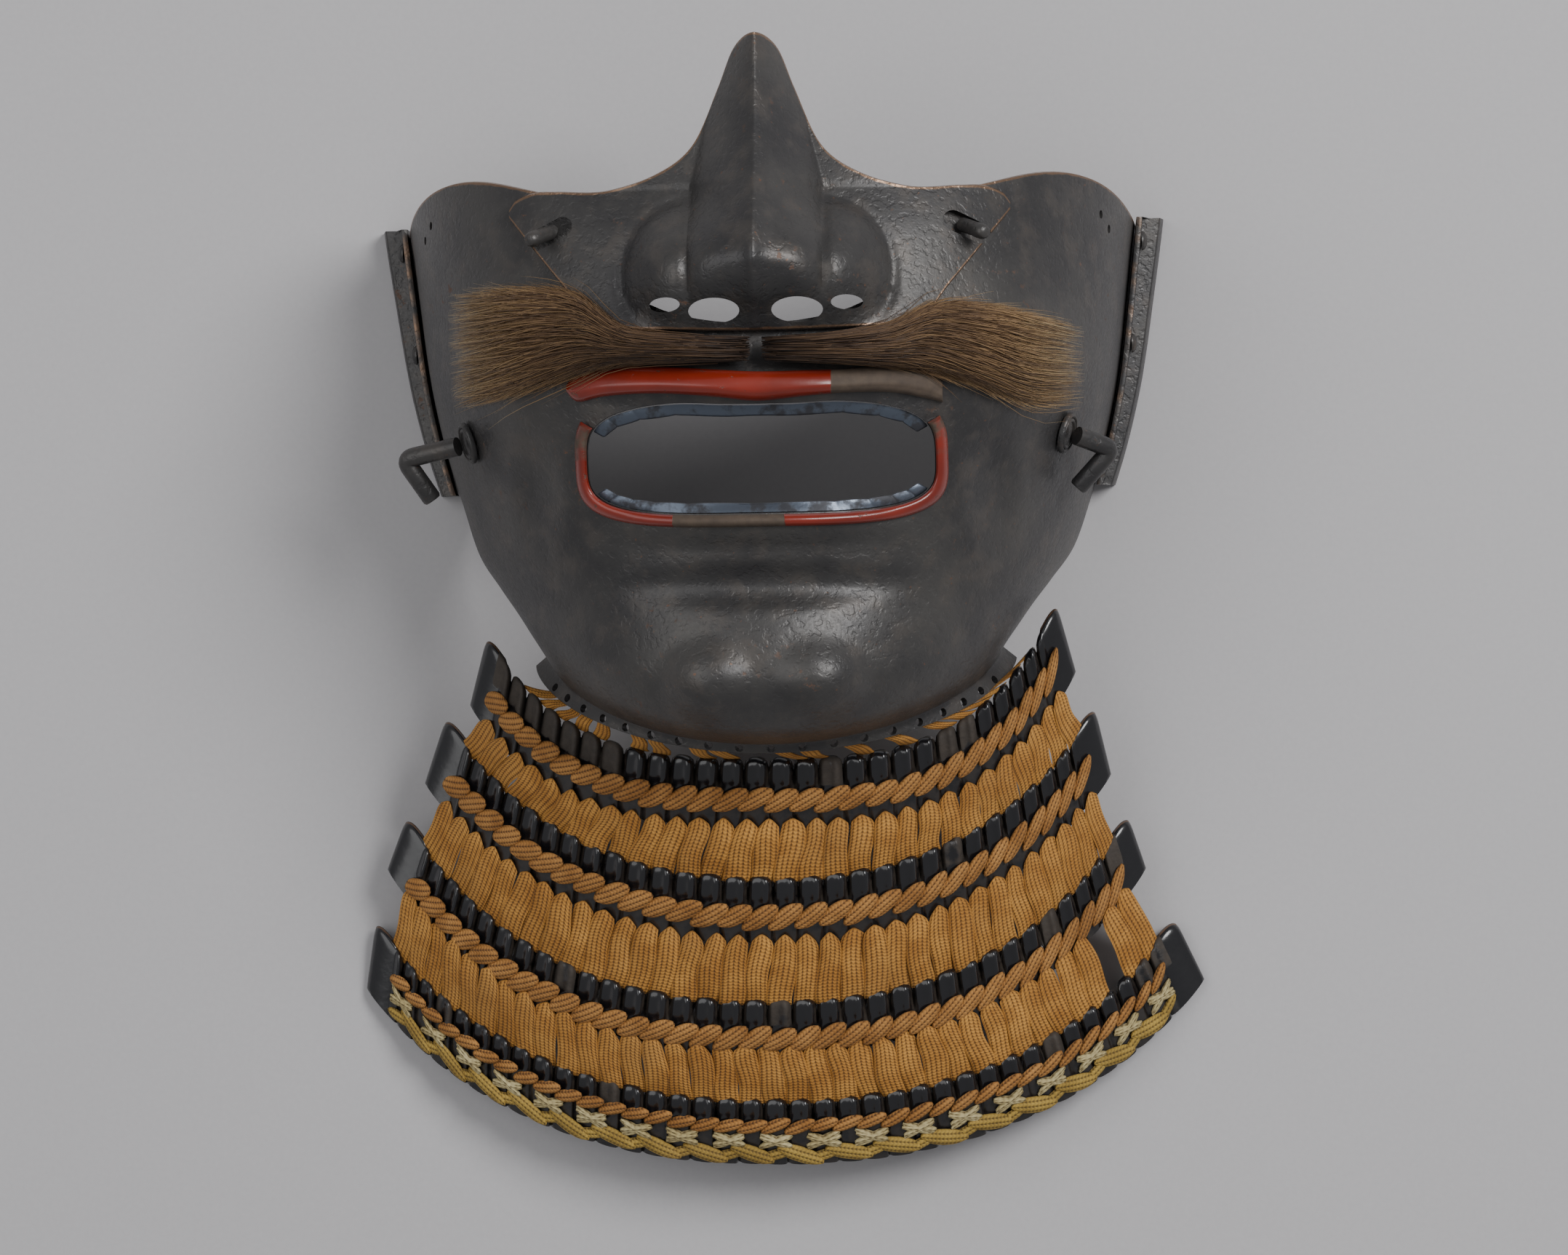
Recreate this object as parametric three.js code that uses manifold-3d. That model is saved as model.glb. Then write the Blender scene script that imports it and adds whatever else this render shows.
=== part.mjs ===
// Samurai face guard (menpo): an iron half mask with a detachable nose, moustache, lacquered lips and
// silvered teeth, and a throat guard of four laced lames of lacquered scales. It lies on its back:
// +Y runs from the chin to the top of the nose, +Z from the table up to the tip of the nose.
// Millimetres. The rear edges of the mask and the ends of the lowest lame rest on z = 0.

import * as THREE from 'three';
import { mergeVertices } from 'three/addons/utils/BufferGeometryUtils.js';
import Module from 'manifold-3d';

const wasm = await Module();
wasm.setup();

// ---------------------------------------------------------------- driving dimensions

const degrees = THREE.MathUtils.degToRad;

const GAP = 0.3;                // clearance kept between touching pieces
const PLATE_WALL = 1.6;         // iron of the face plate
const NOSE_WALL = 1.5;          // iron of the nose plate
const NOSE_GAP = 0.7;           // the wings of the nose plate lie this far over the face plate
const FRAME_SHIFT = { x: -0.35, y: -0.44, z: 0.01 };   // brings the origin under the middle of the whole
const MASK_OFFSET_X = -0.7;     // middle of the mask, left of the middle of the throat guard
const MASK_TURN = degrees(1.0);  // the mask lies a little turned on its guard
const MASK_LEAN = -0.042;       // and its front stands a little to the left of its back edges

// Cross sections of the face plate, from the top edge down to the flange under the chin. Each is one
// arch: yMid, zMid is its crown, ySide, zSide its two ends, halfWidth half the distance between them.
// fullness is the power of the arch across its width, and crown the power over its height.
const FACE_SECTIONS = [
  { yMid: 87, zMid: 80, ySide: 87, zSide: 0, halfWidth: 78.5, fullness: 2.6, crown: 2.0 },
  { yMid: 78, zMid: 84, ySide: 78, zSide: 0, halfWidth: 77.6, fullness: 2.6, crown: 2.0 },
  { yMid: 66, zMid: 88, ySide: 66, zSide: 0, halfWidth: 76.2, fullness: 2.6, crown: 2.0 },
  { yMid: 56, zMid: 91, ySide: 56, zSide: 0, halfWidth: 75.0, fullness: 2.6, crown: 2.0 },
  { yMid: 47, zMid: 92, ySide: 47, zSide: 0, halfWidth: 73.6, fullness: 2.5, crown: 2.0 },
  { yMid: 36, zMid: 90, ySide: 36, zSide: 0, halfWidth: 71.2, fullness: 2.4, crown: 2.0 },
  { yMid: 25, zMid: 87, ySide: 25, zSide: 0, halfWidth: 68.0, fullness: 2.3, crown: 2.0 },
  { yMid: 14, zMid: 84, ySide: 14, zSide: 9, halfWidth: 64.0, fullness: 2.2, crown: 1.9 },
  { yMid: 4, zMid: 83, ySide: 7, zSide: 17, halfWidth: 59.0, fullness: 2.1, crown: 1.8 },
  { yMid: -6, zMid: 85, ySide: 2, zSide: 23, halfWidth: 55.0, fullness: 2.0, crown: 1.7 },
  { yMid: -15, zMid: 85, ySide: -2, zSide: 27, halfWidth: 52.0, fullness: 2.0, crown: 1.6 },
  { yMid: -23, zMid: 79, ySide: -5, zSide: 29, halfWidth: 49.5, fullness: 2.0, crown: 1.6 },
  { yMid: -26.5, zMid: 69, ySide: -7, zSide: 28.5, halfWidth: 48.2, fullness: 2.0, crown: 1.6 },
  { yMid: -26.2, zMid: 61, ySide: -7.5, zSide: 26.5, halfWidth: 48.4, fullness: 2.0, crown: 1.6 },
  { yMid: -28.6, zMid: 58.8, ySide: -9.8, zSide: 25.0, halfWidth: 51.2, fullness: 2.0, crown: 1.6 },
];
const FACE_ROWS = 30;           // mesh steps from the top edge to the throat flange
const FACE_COLUMNS = 30;        // mesh steps from side to side
const TOP_RISE = { x: 64, halfX: 24, height: 4.2 };     // the top edge rises over each cheek
const TOP_CORNER_DROP = 6;      // and falls round at its two outer corners

// Raised and sunk places of the face plate: centre, half sizes and height, all mirrored about x = 0.
const FACE_RELIEF = [
  { name: 'chin boss', x: 12, y: -13, halfX: 11, halfY: 10, height: 3.2 },
  { name: 'groove under the lip', x: 0, y: 6, halfX: 34, halfY: 6, height: -2.6 },
  { name: 'upper lip roll', x: 0, y: 47, halfX: 42, halfY: 6, height: 2.6 },
  { name: 'lower lip roll', x: 0, y: 18, halfX: 36, halfY: 5, height: 2.2 },
  { name: 'cheek', x: 52, y: 50, halfX: 15, halfY: 26, height: 2.4 },
  { name: 'fold beside the mouth', x: 47, y: 26, halfX: 7, halfY: 17, height: -2.0 },
];

const RELIEF_TURN_FROM = 12;    // between these two heights the relief turns from +Z to the plate's normal
const RELIEF_TURN_TO = 2;

const NOSE_OPENING = { halfWidth: 27, low: 59, high: 80 };   // hole of the face plate behind the nose
const TWIN_HOLES = [{ x: 70.6, y: 83.2 }, { x: 72.3, y: 80.4 }];
const TWIN_HOLE_RADIUS = 0.9;
const HOLE_REACH = 4;           // a drill goes this far on either side of the iron
// Lace holes of the throat flange: they spread this far to either side, inward of the flange's edge.
const FLANGE_HOLE = { radius: 0.9, count: 19, spread: degrees(68), inward: 0.42, reach: 3.5 };

// Mouth: an opening with rounded corners. Upper lip, teeth and lower lip follow its edge.
const MOUTH = { halfWidth: 35.4, top: 43.4, bottom: 20.6, middle: 31.5, roundness: 3.6 };

// Lower and upper edge of the upper lip, from its left end to its right end.
const UPPER_LIP = [
  { x: -39.2, low: 46.0, high: 47.6 },
  { x: -36.8, low: 44.0, high: 50.0 },
  { x: -31, low: 44.9, high: 50.8 },
  { x: -20.6, low: 45.1, high: 50.5 },
  { x: -9, low: 44.2, high: 49.6 },
  { x: 0, low: 43.2, high: 49.0 },
  { x: 9.3, low: 44.0, high: 49.1 },
  { x: 18.3, low: 44.6, high: 49.3 },
  { x: 27, low: 44.6, high: 50.2 },
  { x: 34, low: 43.4, high: 49.8 },
  { x: 37.2, low: 42.6, high: 47.0 },
];

const NOSE = {
  wingReach: 51.5,              // half width of the plate over its wings
  bottom: 57.6,
  bridgeHalfWidth: 13.5,
  plateTop: 88,                 // above this height the plate stands free as a folded spire
  spireFall: 0.35,              // and its two sides fall back by this much for each millimetre
  spireTaper: 0.25,
};
// Crown line of the nose: y along the ridge and the height of the ridge over the table.
const NOSE_RIDGE = [
  { y: 57.6, z: 93.5 },
  { y: 61, z: 96.5 },
  { y: 65, z: 101.5 },
  { y: 69, z: 104.6 },
  { y: 73, z: 105.4 },
  { y: 80, z: 102 },
  { y: 90, z: 95 },
  { y: 100, z: 89 },
  { y: 110, z: 84.5 },
  { y: 118.6, z: 81.5 },
];
// Right half of the top edge of the nose plate; its first row only rounds the tip of the spire.
const NOSE_TOP_EDGE = [
  { x: -4.4, y: 116 },
  { x: 0, y: 118.6 },
  { x: 4.4, y: 116 },
  { x: 8, y: 107.3 },
  { x: 13.2, y: 95.7 },
  { x: 20.8, y: 89.9 },
  { x: 31, y: 86.9 },
  { x: 41, y: 87.2 },
  { x: 46, y: 87.3 },
  { x: 50, y: 86.0 },
  { x: 51.5, y: 84.2 },
];
const NOSE_WING_EDGE = [
  { x: 34, y: 59 },
  { x: 37.5, y: 65 },
  { x: 43.5, y: 72.5 },
  { x: 51.5, y: 82.6 },
];
const NOSE_WING_LOBE = { x: 15, y: 71, halfX: 14, halfY: 16, height: 9.5 };
const NOSTRIL = { x: 8.4, y: 61.4, halfX: 5.2, halfY: 2.5 };
const NOSTRIL_VENT = { x: 18.4, y: 62.8, halfX: 3.2, halfY: 1.5 };
const NOSE_SLOT = { fromX: 38.0, fromY: 80.9, toX: 47.4, toY: 76.4, width: 4.2 };
const NOSE_ROWS = 18;
const NOSE_COLUMNS = 26;
const CUT_LOW = 40;             // upright cuts through the iron reach from here
const CUT_HIGH = 120;           // to here
const PEG = {
  radius: 1.5, sides: 10, footX: 41.8, footY: 79.1, tipX: 46.6, tipY: 77.0, rise: 7.4, stand: 1.5,
};

// Side flanges: strips of L section riveted to the two rear edges of the mask.
const FLANGE = {
  top: 84.5, bottom: 27, legHeight: 11, wall: 1.3, reach: 5.2, lipSpread: 0.9, shelf: 4.6, narrowing: 0.35,
};
const FLANGE_STEPS = 9;
const RIVET = { radius: 2.1, height: 1.2, lift: 0.9, heights: [7.2, 7.2], along: [79.5, 57.5] };

// Hooks for the chin cord: a rod bent in a sharp elbow, standing on a washer on the cheek.
const HOOK = { radius: 2.0, footX: 61.8, footY: 37.2, stand: 3.2, sides: 10, bend: 2.4 };
const HOOK_LEFT = { elbowX: 76.4, elbowY: 34.0, elbowZ: 46, tipX: 70.7, tipY: 25.4, tipZ: 44 };
const HOOK_RIGHT = { elbowX: 72.0, elbowY: 33.6, elbowZ: 46, tipX: 64.6, tipY: 25.6, tipZ: 45 };
const WASHER = { halfWidth: 3.5, halfLength: 4.4, thick: 1.1, stand: 0.5 };

// Moustache: two tufts, thin at the root under the nose and spread at the tips.
const TUFT_LEFT = [
  { x: 1.0, low: 50.8, high: 56.4, thick: 4.2 },
  { x: 14, low: 50.9, high: 56.8, thick: 7.5 },
  { x: 27, low: 51.0, high: 58.6, thick: 8.5 },
  { x: 36, low: 49.6, high: 65.4, thick: 8.0 },
  { x: 46, low: 47.2, high: 67.2, thick: 7.0 },
  { x: 56, low: 45.6, high: 67.0, thick: 6.0 },
  { x: 65.5, low: 45.4, high: 66.4, thick: 4.2 },
];
const TUFT_RIGHT = [
  { x: 1.0, low: 50.8, high: 56.4, thick: 4.2 },
  { x: 14, low: 50.2, high: 56.8, thick: 7.5 },
  { x: 27, low: 49.6, high: 58.6, thick: 8.5 },
  { x: 36, low: 48.6, high: 62.6, thick: 8.0 },
  { x: 46, low: 45.6, high: 62.2, thick: 7.0 },
  { x: 56, low: 42.6, high: 60.4, thick: 6.0 },
  { x: 66.0, low: 44.4, high: 58.6, thick: 4.2 },
];
const TUFT_CLEARANCE = 2.9;     // the tufts lie over the face plate and the wings of the nose plate

// Lames of the throat guard. The upper edge of each is an arch: xMid, yMid is its lowest point,
// reachX and reachY its half axes, fullness its power; fromX and toX are its two ends, and
// zMid, zEnd the height of its middle and of its ends over the table. Its face is height long and
// leans down by slope degrees; its scales turn outwards by fanLeft and fanRight degrees at the ends.
const LAMES = [
  { scales: 29, xMid: -4.4, yMid: -30.4, reachX: 72.4, reachY: 91.6, fullness: 3.08, fromX: -63.0, toX: 57.8,
    zMid: 50.5, zEnd: 31, height: 15.6, slope: 24, fanLeft: 14, fanRight: 16 },
  { scales: 32, xMid: -3.6, yMid: -55.3, reachX: 82.8, reachY: 87.2, fullness: 2.22, fromX: -72.2, toX: 66.4,
    zMid: 41.5, zEnd: 21, height: 15.4, slope: 23, fanLeft: 18, fanRight: 14 },
  { scales: 36, xMid: -3.7, yMid: -81.7, reachX: 93.1, reachY: 102.1, fullness: 2.37, fromX: -81.2, toX: 74.0,
    zMid: 31.5, zEnd: 12, height: 12.6, slope: 22, fanLeft: 20, fanRight: 19 },
  { scales: 39, xMid: -2.1, yMid: -103.4, reachX: 101.9, reachY: 91.1, fullness: 2.26, fromX: -88.4,
    toX: 84.6, zMid: 23.0, zEnd: 4.3, height: 15.2, slope: 21, fanLeft: 8, fanRight: 26 },
];
const ARCH_CROWN = 2.2;         // power of the lame arches over their depth
const LAME_THICK = 2.0;
const END_SLOPE = 0.42;         // the lames lean less at their ends: share of the slope left there
const HEAD_NOTCH = 1.8;         // how deep the gaps between the scale heads are cut
const ROPE = { from: 6.0, to: 11.6, thick: 1.7, waist: 0.55 };
const ROPE_LOWEST = { from: 4.2, to: 7.4, thick: 1.5, waist: 0.55 };
const LACE_THICK = 1.6;
const LACE_VALLEY = 0.7;
const LACE_CLEARANCE = 0.7;     // between the ends of the laces and the lames they hang from
const LACE_DROP = LAME_THICK - 0.2;
const LACES_PER_GAP = [30, 34, 37];
const LACES_FROM = 0.035;       // the laces cover this share of a lame's length
const LACES_TO = 0.965;
const ROPE_FROM = 0.05;
const ROPE_TO = 0.95;
const CHIN_LACES = {
  count: 15, spread: degrees(84), from: 0.256, to: 0.724, out: 1.0, below: 2.4, clearance: 2.2,
  forward: 0.8, up: 0.6,
};
const ROW_FROM = 0.04;          // the rows of knots and leaves start and end here
const ROW_TO = 0.96;
const KNOTS = { count: 19, from: 8.0, to: 10.8, thick: 1.4 };
const LEAVES = { count: 19, from: 11.4, to: 14.6, thick: 1.4 };

// ---------------------------------------------------------------- finishes

function finish(color, roughness, metalness) {
  return new THREE.MeshStandardMaterial({ color, roughness, metalness });
}

const iron = () => finish(0x4a4644, 0.5, 0.8);
const redLacquer = () => finish(0x7e2314, 0.45, 0.0);
const silver = () => finish(0x8d949c, 0.35, 0.9);
const hair = () => finish(0x4a3424, 0.8, 0.0);
const lacquer = () => finish(0x1c1d22, 0.3, 0.0);
const orangeLace = () => finish(0xb5772f, 0.85, 0.0);
const paleLace = () => finish(0xb7ab86, 0.85, 0.0);
const greenLace = () => finish(0xa08a35, 0.85, 0.0);

// ---------------------------------------------------------------- curves and meshes

// Smooth curve through the rows of a table, at row number t, for one named column.
function along(table, column, t) {
  const last = table.length - 1;
  const i = Math.min(Math.floor(t), last - 1);
  const f = t - i;
  const a = table[Math.max(i - 1, 0)][column];
  const b = table[i][column];
  const c = table[i + 1][column];
  const d = table[Math.min(i + 2, last)][column];
  return b + 0.5 * f * (c - a + f * (2 * a - 5 * b + 4 * c - d + f * (3 * (b - c) + d - a)));
}

// Row number at which a falling or rising column of a table reaches a value.
function rowWhere(table, column, value) {
  const rising = table[table.length - 1][column] > table[0][column];
  let low = 0;
  let high = table.length - 1;
  for (let k = 0; k < 40; k += 1) {
    const middle = 0.5 * (low + high);
    if ((along(table, column, middle) < value) === rising) low = middle;
    else high = middle;
  }
  return 0.5 * (low + high);
}

function bell(dx, dy) {
  const r = dx * dx + dy * dy;
  return r < 1 ? (1 - r) * (1 - r) : 0;
}

function grid(rows, columns, pointAt) {
  const result = [];
  for (let i = 0; i <= rows; i += 1) {
    const line = [];
    for (let j = 0; j <= columns; j += 1) line.push(pointAt(i / rows, j / columns));
    result.push(line);
  }
  return result;
}

function signedVolume(points, triangles) {
  let sum = 0;
  for (const [a, b, c] of triangles) {
    sum += points[a].dot(points[b].clone().cross(points[c]));
  }
  return sum / 6;
}

function geometryOf(points, triangles) {
  const outward = signedVolume(points, triangles) > 0;
  const index = triangles.flatMap(([a, b, c]) => (outward ? [a, b, c] : [a, c, b]));
  const geometry = new THREE.BufferGeometry();
  geometry.setAttribute('position', new THREE.Float32BufferAttribute(points.flatMap((p) => p.toArray()), 3));
  geometry.setIndex(index);
  return geometry;
}

// A closed body between a front and a back grid of points, joined round its four edges.
function slab(front, back) {
  const rows = front.length;
  const columns = front[0].length;
  const points = [...front.flat(), ...back.flat()];
  const at = (side, i, j) => side * rows * columns + i * columns + j;
  const triangles = [];
  const quad = (a, b, c, d) => triangles.push([a, b, c], [a, c, d]);
  for (let i = 0; i + 1 < rows; i += 1) {
    for (let j = 0; j + 1 < columns; j += 1) {
      quad(at(0, i, j), at(0, i + 1, j), at(0, i + 1, j + 1), at(0, i, j + 1));
      quad(at(1, i, j), at(1, i, j + 1), at(1, i + 1, j + 1), at(1, i + 1, j));
    }
    quad(at(0, i, 0), at(1, i, 0), at(1, i + 1, 0), at(0, i + 1, 0));
    quad(at(0, i, columns - 1), at(0, i + 1, columns - 1), at(1, i + 1, columns - 1), at(1, i, columns - 1));
  }
  for (let j = 0; j + 1 < columns; j += 1) {
    quad(at(0, 0, j), at(0, 0, j + 1), at(1, 0, j + 1), at(1, 0, j));
    quad(at(0, rows - 1, j), at(1, rows - 1, j), at(1, rows - 1, j + 1), at(0, rows - 1, j + 1));
  }
  return geometryOf(points, triangles);
}

// A body swept through rings of points, its two ends closed flat.
function sweep(rings) {
  const count = rings[0].length;
  const points = rings.flat();
  const triangles = [];
  for (let i = 0; i + 1 < rings.length; i += 1) {
    for (let j = 0; j < count; j += 1) {
      const a = i * count + j;
      const b = i * count + ((j + 1) % count);
      triangles.push([a, b, b + count], [a, b + count, a + count]);
    }
  }
  const last = (rings.length - 1) * count;
  for (const [a, b, c] of capTriangles(rings[0])) triangles.push([a, c, b]);
  for (const [a, b, c] of capTriangles(rings[rings.length - 1])) {
    triangles.push([last + a, last + b, last + c]);
  }
  return geometryOf(points, triangles);
}

// Triangles of a flat ring, wound the same way round as the ring itself.
function capTriangles(ring) {
  const normal = new THREE.Vector3();
  ring.forEach((p, i) => normal.add(p.clone().cross(ring[(i + 1) % ring.length])));
  normal.normalize();
  const side = Math.abs(normal.z) < 0.9 ? new THREE.Vector3(0, 0, 1) : new THREE.Vector3(1, 0, 0);
  const u = side.cross(normal).normalize();
  const v = normal.clone().cross(u);
  const flat = ring.map((p) => new THREE.Vector2(p.dot(u), p.dot(v)));
  return THREE.ShapeUtils.triangulateShape(flat, []);
}

function bareGeometry(geometry) {
  const bare = geometry.clone();
  bare.deleteAttribute('normal');
  bare.deleteAttribute('uv');
  return mergeVertices(bare, 1e-4);
}

function solidOf(geometry) {
  const bare = bareGeometry(geometry);
  return new wasm.Manifold(new wasm.Mesh({
    numProp: 3,
    vertProperties: new Float32Array(bare.attributes.position.array),
    triVerts: new Uint32Array(bare.index.array),
  }));
}

function geometryOfSolid(solid) {
  const mesh = solid.getMesh();
  const geometry = new THREE.BufferGeometry();
  geometry.setAttribute('position', new THREE.BufferAttribute(new Float32Array(mesh.vertProperties), 3));
  geometry.setIndex(new THREE.BufferAttribute(new Uint32Array(mesh.triVerts), 1));
  return geometry;
}

function cutAll(geometry, cutters) {
  let solid = solidOf(geometry);
  for (const cutter of cutters) solid = solid.subtract(solidOf(cutter));
  return geometryOfSolid(solid);
}

function upright(outline, low, high) {
  const shape = new THREE.Shape(outline.map(([x, y]) => new THREE.Vector2(x, y)));
  return new THREE.ExtrudeGeometry(shape, { depth: high - low, bevelEnabled: false }).translate(0, 0, low);
}

function ovalOutline(x, y, halfX, halfY, sides) {
  const turn = (k) => (2 * Math.PI * k) / sides;
  const corner = (_, k) => [x + halfX * Math.cos(turn(k)), y + halfY * Math.sin(turn(k))];
  return Array.from({ length: sides }, corner);
}

// ---------------------------------------------------------------- the face surface

// Relief of the hammered plate at a place seen from the front.
function relief(x, y) {
  let sum = 0;
  for (const place of FACE_RELIEF) {
    sum += place.height * bell((Math.abs(x) - place.x) / place.halfX, (y - place.y) / place.halfY);
  }
  return sum;
}

// Smooth arch of the plate at section number t and across angle from -90 to 90 degrees.
function faceArch(t, angle) {
  const across = Math.abs(Math.sin(angle)) ** (2 / along(FACE_SECTIONS, 'fullness', t));
  const rise = Math.max(Math.cos(angle), 0) ** (2 / along(FACE_SECTIONS, 'crown', t));
  const x = Math.sign(angle) * across * along(FACE_SECTIONS, 'halfWidth', t);
  const zSide = Math.max(along(FACE_SECTIONS, 'zSide', t), 0);
  const ySide = along(FACE_SECTIONS, 'ySide', t);
  const cheekRise = TOP_RISE.height * bell((Math.abs(x) - TOP_RISE.x) / TOP_RISE.halfX, 0);
  const rim = cheekRise - TOP_CORNER_DROP * across ** 14;
  const nearTop = Math.max(0, 1 - t);
  return new THREE.Vector3(
    x,
    ySide + (along(FACE_SECTIONS, 'yMid', t) - ySide) * rise + rim * nearTop,
    zSide + (along(FACE_SECTIONS, 'zMid', t) - zSide) * rise,
  );
}

function faceNormal(t, angle) {
  const step = 0.02;
  const last = FACE_SECTIONS.length - 1;
  const tLow = Math.max(t - step, 0);
  const tHigh = Math.min(t + step, last);
  const aLow = Math.max(angle - step, -Math.PI / 2);
  const aHigh = Math.min(angle + step, Math.PI / 2);
  const down = faceArch(tHigh, angle).sub(faceArch(tLow, angle));
  const right = faceArch(t, aHigh).sub(faceArch(t, aLow));
  return down.cross(right).normalize();
}

// The relief stands straight forward above the chin, and square to the plate round the chin.
function facePoint(t, angle, depth) {
  const point = faceArch(t, angle);
  const normal = faceNormal(t, angle);
  const chinShare = THREE.MathUtils.smoothstep(-point.y, -RELIEF_TURN_FROM, -RELIEF_TURN_TO);
  const forward = new THREE.Vector3(0, 0, 1).lerp(normal, chinShare).normalize();
  const lift = relief(point.x, point.y);
  const result = point.addScaledVector(forward, lift).addScaledVector(normal, -depth);
  result.z = Math.max(result.z, 0);
  return result;
}

// Height of the outer face over the table where the sections stand upright, above the chin.
function faceHeight(x, y) {
  const t = rowWhere(FACE_SECTIONS, 'yMid', y);
  const share = Math.min(Math.abs(x) / along(FACE_SECTIONS, 'halfWidth', t), 1);
  const rise = (1 - share ** along(FACE_SECTIONS, 'fullness', t)) ** (1 / along(FACE_SECTIONS, 'crown', t));
  const zSide = along(FACE_SECTIONS, 'zSide', t);
  return zSide + (along(FACE_SECTIONS, 'zMid', t) - zSide) * rise + relief(x, y);
}

// The plate between two depths under its outer face; a negative depth lies outside it.
function faceLayer(outer, inner) {
  const last = FACE_SECTIONS.length - 1;
  const spot = (i, j, depth) => facePoint(i * last, Math.PI * (j - 0.5), depth);
  const front = grid(FACE_ROWS, FACE_COLUMNS, (i, j) => spot(i, j, outer));
  const back = grid(FACE_ROWS, FACE_COLUMNS, (i, j) => spot(i, j, inner));
  return slab(front, back);
}

// A piece laid on the face plate, fitted to it with a small gap.
function fittedToPlate(geometry) {
  return cutAll(geometry, [faceLayer(-GAP, 2 * PLATE_WALL)]);
}

// ---------------------------------------------------------------- mouth

// Edge of the mouth at an angle from the right corner, grown outwards by a margin.
function mouthEdge(angle, margin) {
  const c = Math.cos(angle);
  const s = Math.sin(angle);
  const halfHeight = s > 0 ? MOUTH.top - MOUTH.middle : MOUTH.middle - MOUTH.bottom;
  const squareness = 2 / MOUTH.roundness;
  const wave = s > 0 ? -0.7 * Math.exp(-((c / 0.16) ** 2)) : 0;
  return {
    x: (MOUTH.halfWidth + margin) * Math.sign(c) * Math.abs(c) ** squareness,
    y: MOUTH.middle + (halfHeight + margin) * Math.sign(s) * Math.abs(s) ** squareness + wave,
  };
}

function mouthOutline(margin, sides) {
  return Array.from({ length: sides }, (_, k) => {
    const p = mouthEdge((2 * Math.PI * k) / sides, margin);
    return [p.x, p.y];
  });
}

// A strip along the mouth's edge between two angles and two margins, standing on the plate.
function mouthStrip(fromAngle, toAngle, steps, profile) {
  const rings = [];
  for (let i = 0; i <= steps; i += 1) {
    const share = i / steps;
    const angle = fromAngle + (toAngle - fromAngle) * share;
    rings.push(profile(share).map(({ margin, lift }) => {
      const p = mouthEdge(angle, margin);
      return new THREE.Vector3(p.x, p.y, faceHeight(p.x, Math.max(p.y, 15)) + lift);
    }));
  }
  return sweep(rings);
}

function lipProfile(inner, outer, height) {
  const middle = 0.5 * (inner + outer);
  return [
    { margin: inner, lift: -1 },
    { margin: inner, lift: 0.6 * height + 0.4 },
    { margin: middle, lift: height + 0.4 },
    { margin: outer, lift: 1.0 },
    { margin: outer, lift: -1 },
  ];
}

// The upper lip: a strip with blunt ends, its rolled lower edge standing furthest forward.
function upperLip() {
  const last = UPPER_LIP.length - 1;
  const steps = 2 * last;
  const rings = [];
  for (let i = 0; i <= steps; i += 1) {
    const t = (i * last) / steps;
    const x = along(UPPER_LIP, 'x', t);
    const low = along(UPPER_LIP, 'low', t);
    const high = along(UPPER_LIP, 'high', t);
    const section = [[low, -1], [low, 1.6], [low + 0.3 * (high - low), 2.6], [high, 1.2], [high, -1]];
    rings.push(section.map(([y, lift]) => new THREE.Vector3(x, y, faceHeight(x, y) + lift)));
  }
  return sweep(rings);
}

function lowerLip() {
  return mouthStrip(degrees(158), degrees(382), 30, () => lipProfile(0.2, 3.2, 1.9));
}

// Teeth: a notched strip hanging inside the mouth's edge.
function teethStrip(fromAngle, toAngle, teeth, outerMargin, width) {
  const steps = teeth * 4;
  return mouthStrip(fromAngle, toAngle, steps, (share) => {
    const notch = Math.abs(Math.sin(Math.PI * share * teeth)) ** 0.4;
    const inner = outerMargin - width * (0.62 + 0.38 * notch);
    return [
      { margin: inner, lift: -2.6 },
      { margin: inner, lift: -1.2 },
      { margin: outerMargin, lift: -1.0 },
      { margin: outerMargin, lift: -2.6 },
    ];
  });
}

const upperTeeth = () => teethStrip(degrees(20), degrees(160), 8, -GAP, 2.2);
const lowerTeeth = () => teethStrip(degrees(202), degrees(338), 10, -GAP, 1.9);

// ---------------------------------------------------------------- nose plate

function noseTop(x) {
  return along(NOSE_TOP_EDGE, 'y', rowWhere(NOSE_TOP_EDGE, 'x', Math.abs(x)));
}

function noseBottom(x) {
  const reach = Math.abs(x);
  const first = NOSE_WING_EDGE[0];
  if (reach <= first.x) return NOSE.bottom + (first.y - NOSE.bottom) * (reach / first.x) ** 2;
  return along(NOSE_WING_EDGE, 'y', rowWhere(NOSE_WING_EDGE, 'x', reach));
}

function ridgeHeight(y) {
  return along(NOSE_RIDGE, 'z', rowWhere(NOSE_RIDGE, 'y', y));
}

// Height of the outer face of the nose plate: the ridge falls off to both sides into two wings.
function noseHeight(x, y) {
  const above = Math.max(0, y - NOSE.plateTop);
  const flat = (at) => faceHeight(at, y - above) + NOSE_GAP + NOSE_WALL - NOSE.spireFall * above;
  const side = Math.abs(x) / (NOSE.bridgeHalfWidth - NOSE.spireTaper * above);
  const bridge = (ridgeHeight(y) - flat(0)) * Math.max(0, 1 - side ** 1.3);
  const lobe = NOSE_WING_LOBE;
  const wing = lobe.height * bell((Math.abs(x) - lobe.x) / lobe.halfX, (y - lobe.y) / lobe.halfY);
  return flat(x) + bridge + wing;
}

function nosePoint(i, j, depth) {
  const spread = 2 * j - 1;
  const x = NOSE.wingReach * (0.55 * spread + 0.45 * spread * spread * spread);
  const low = noseBottom(x);
  const y = low + (noseTop(x) - low) * i;
  return new THREE.Vector3(x, y, noseHeight(x, y) - depth);
}

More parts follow.
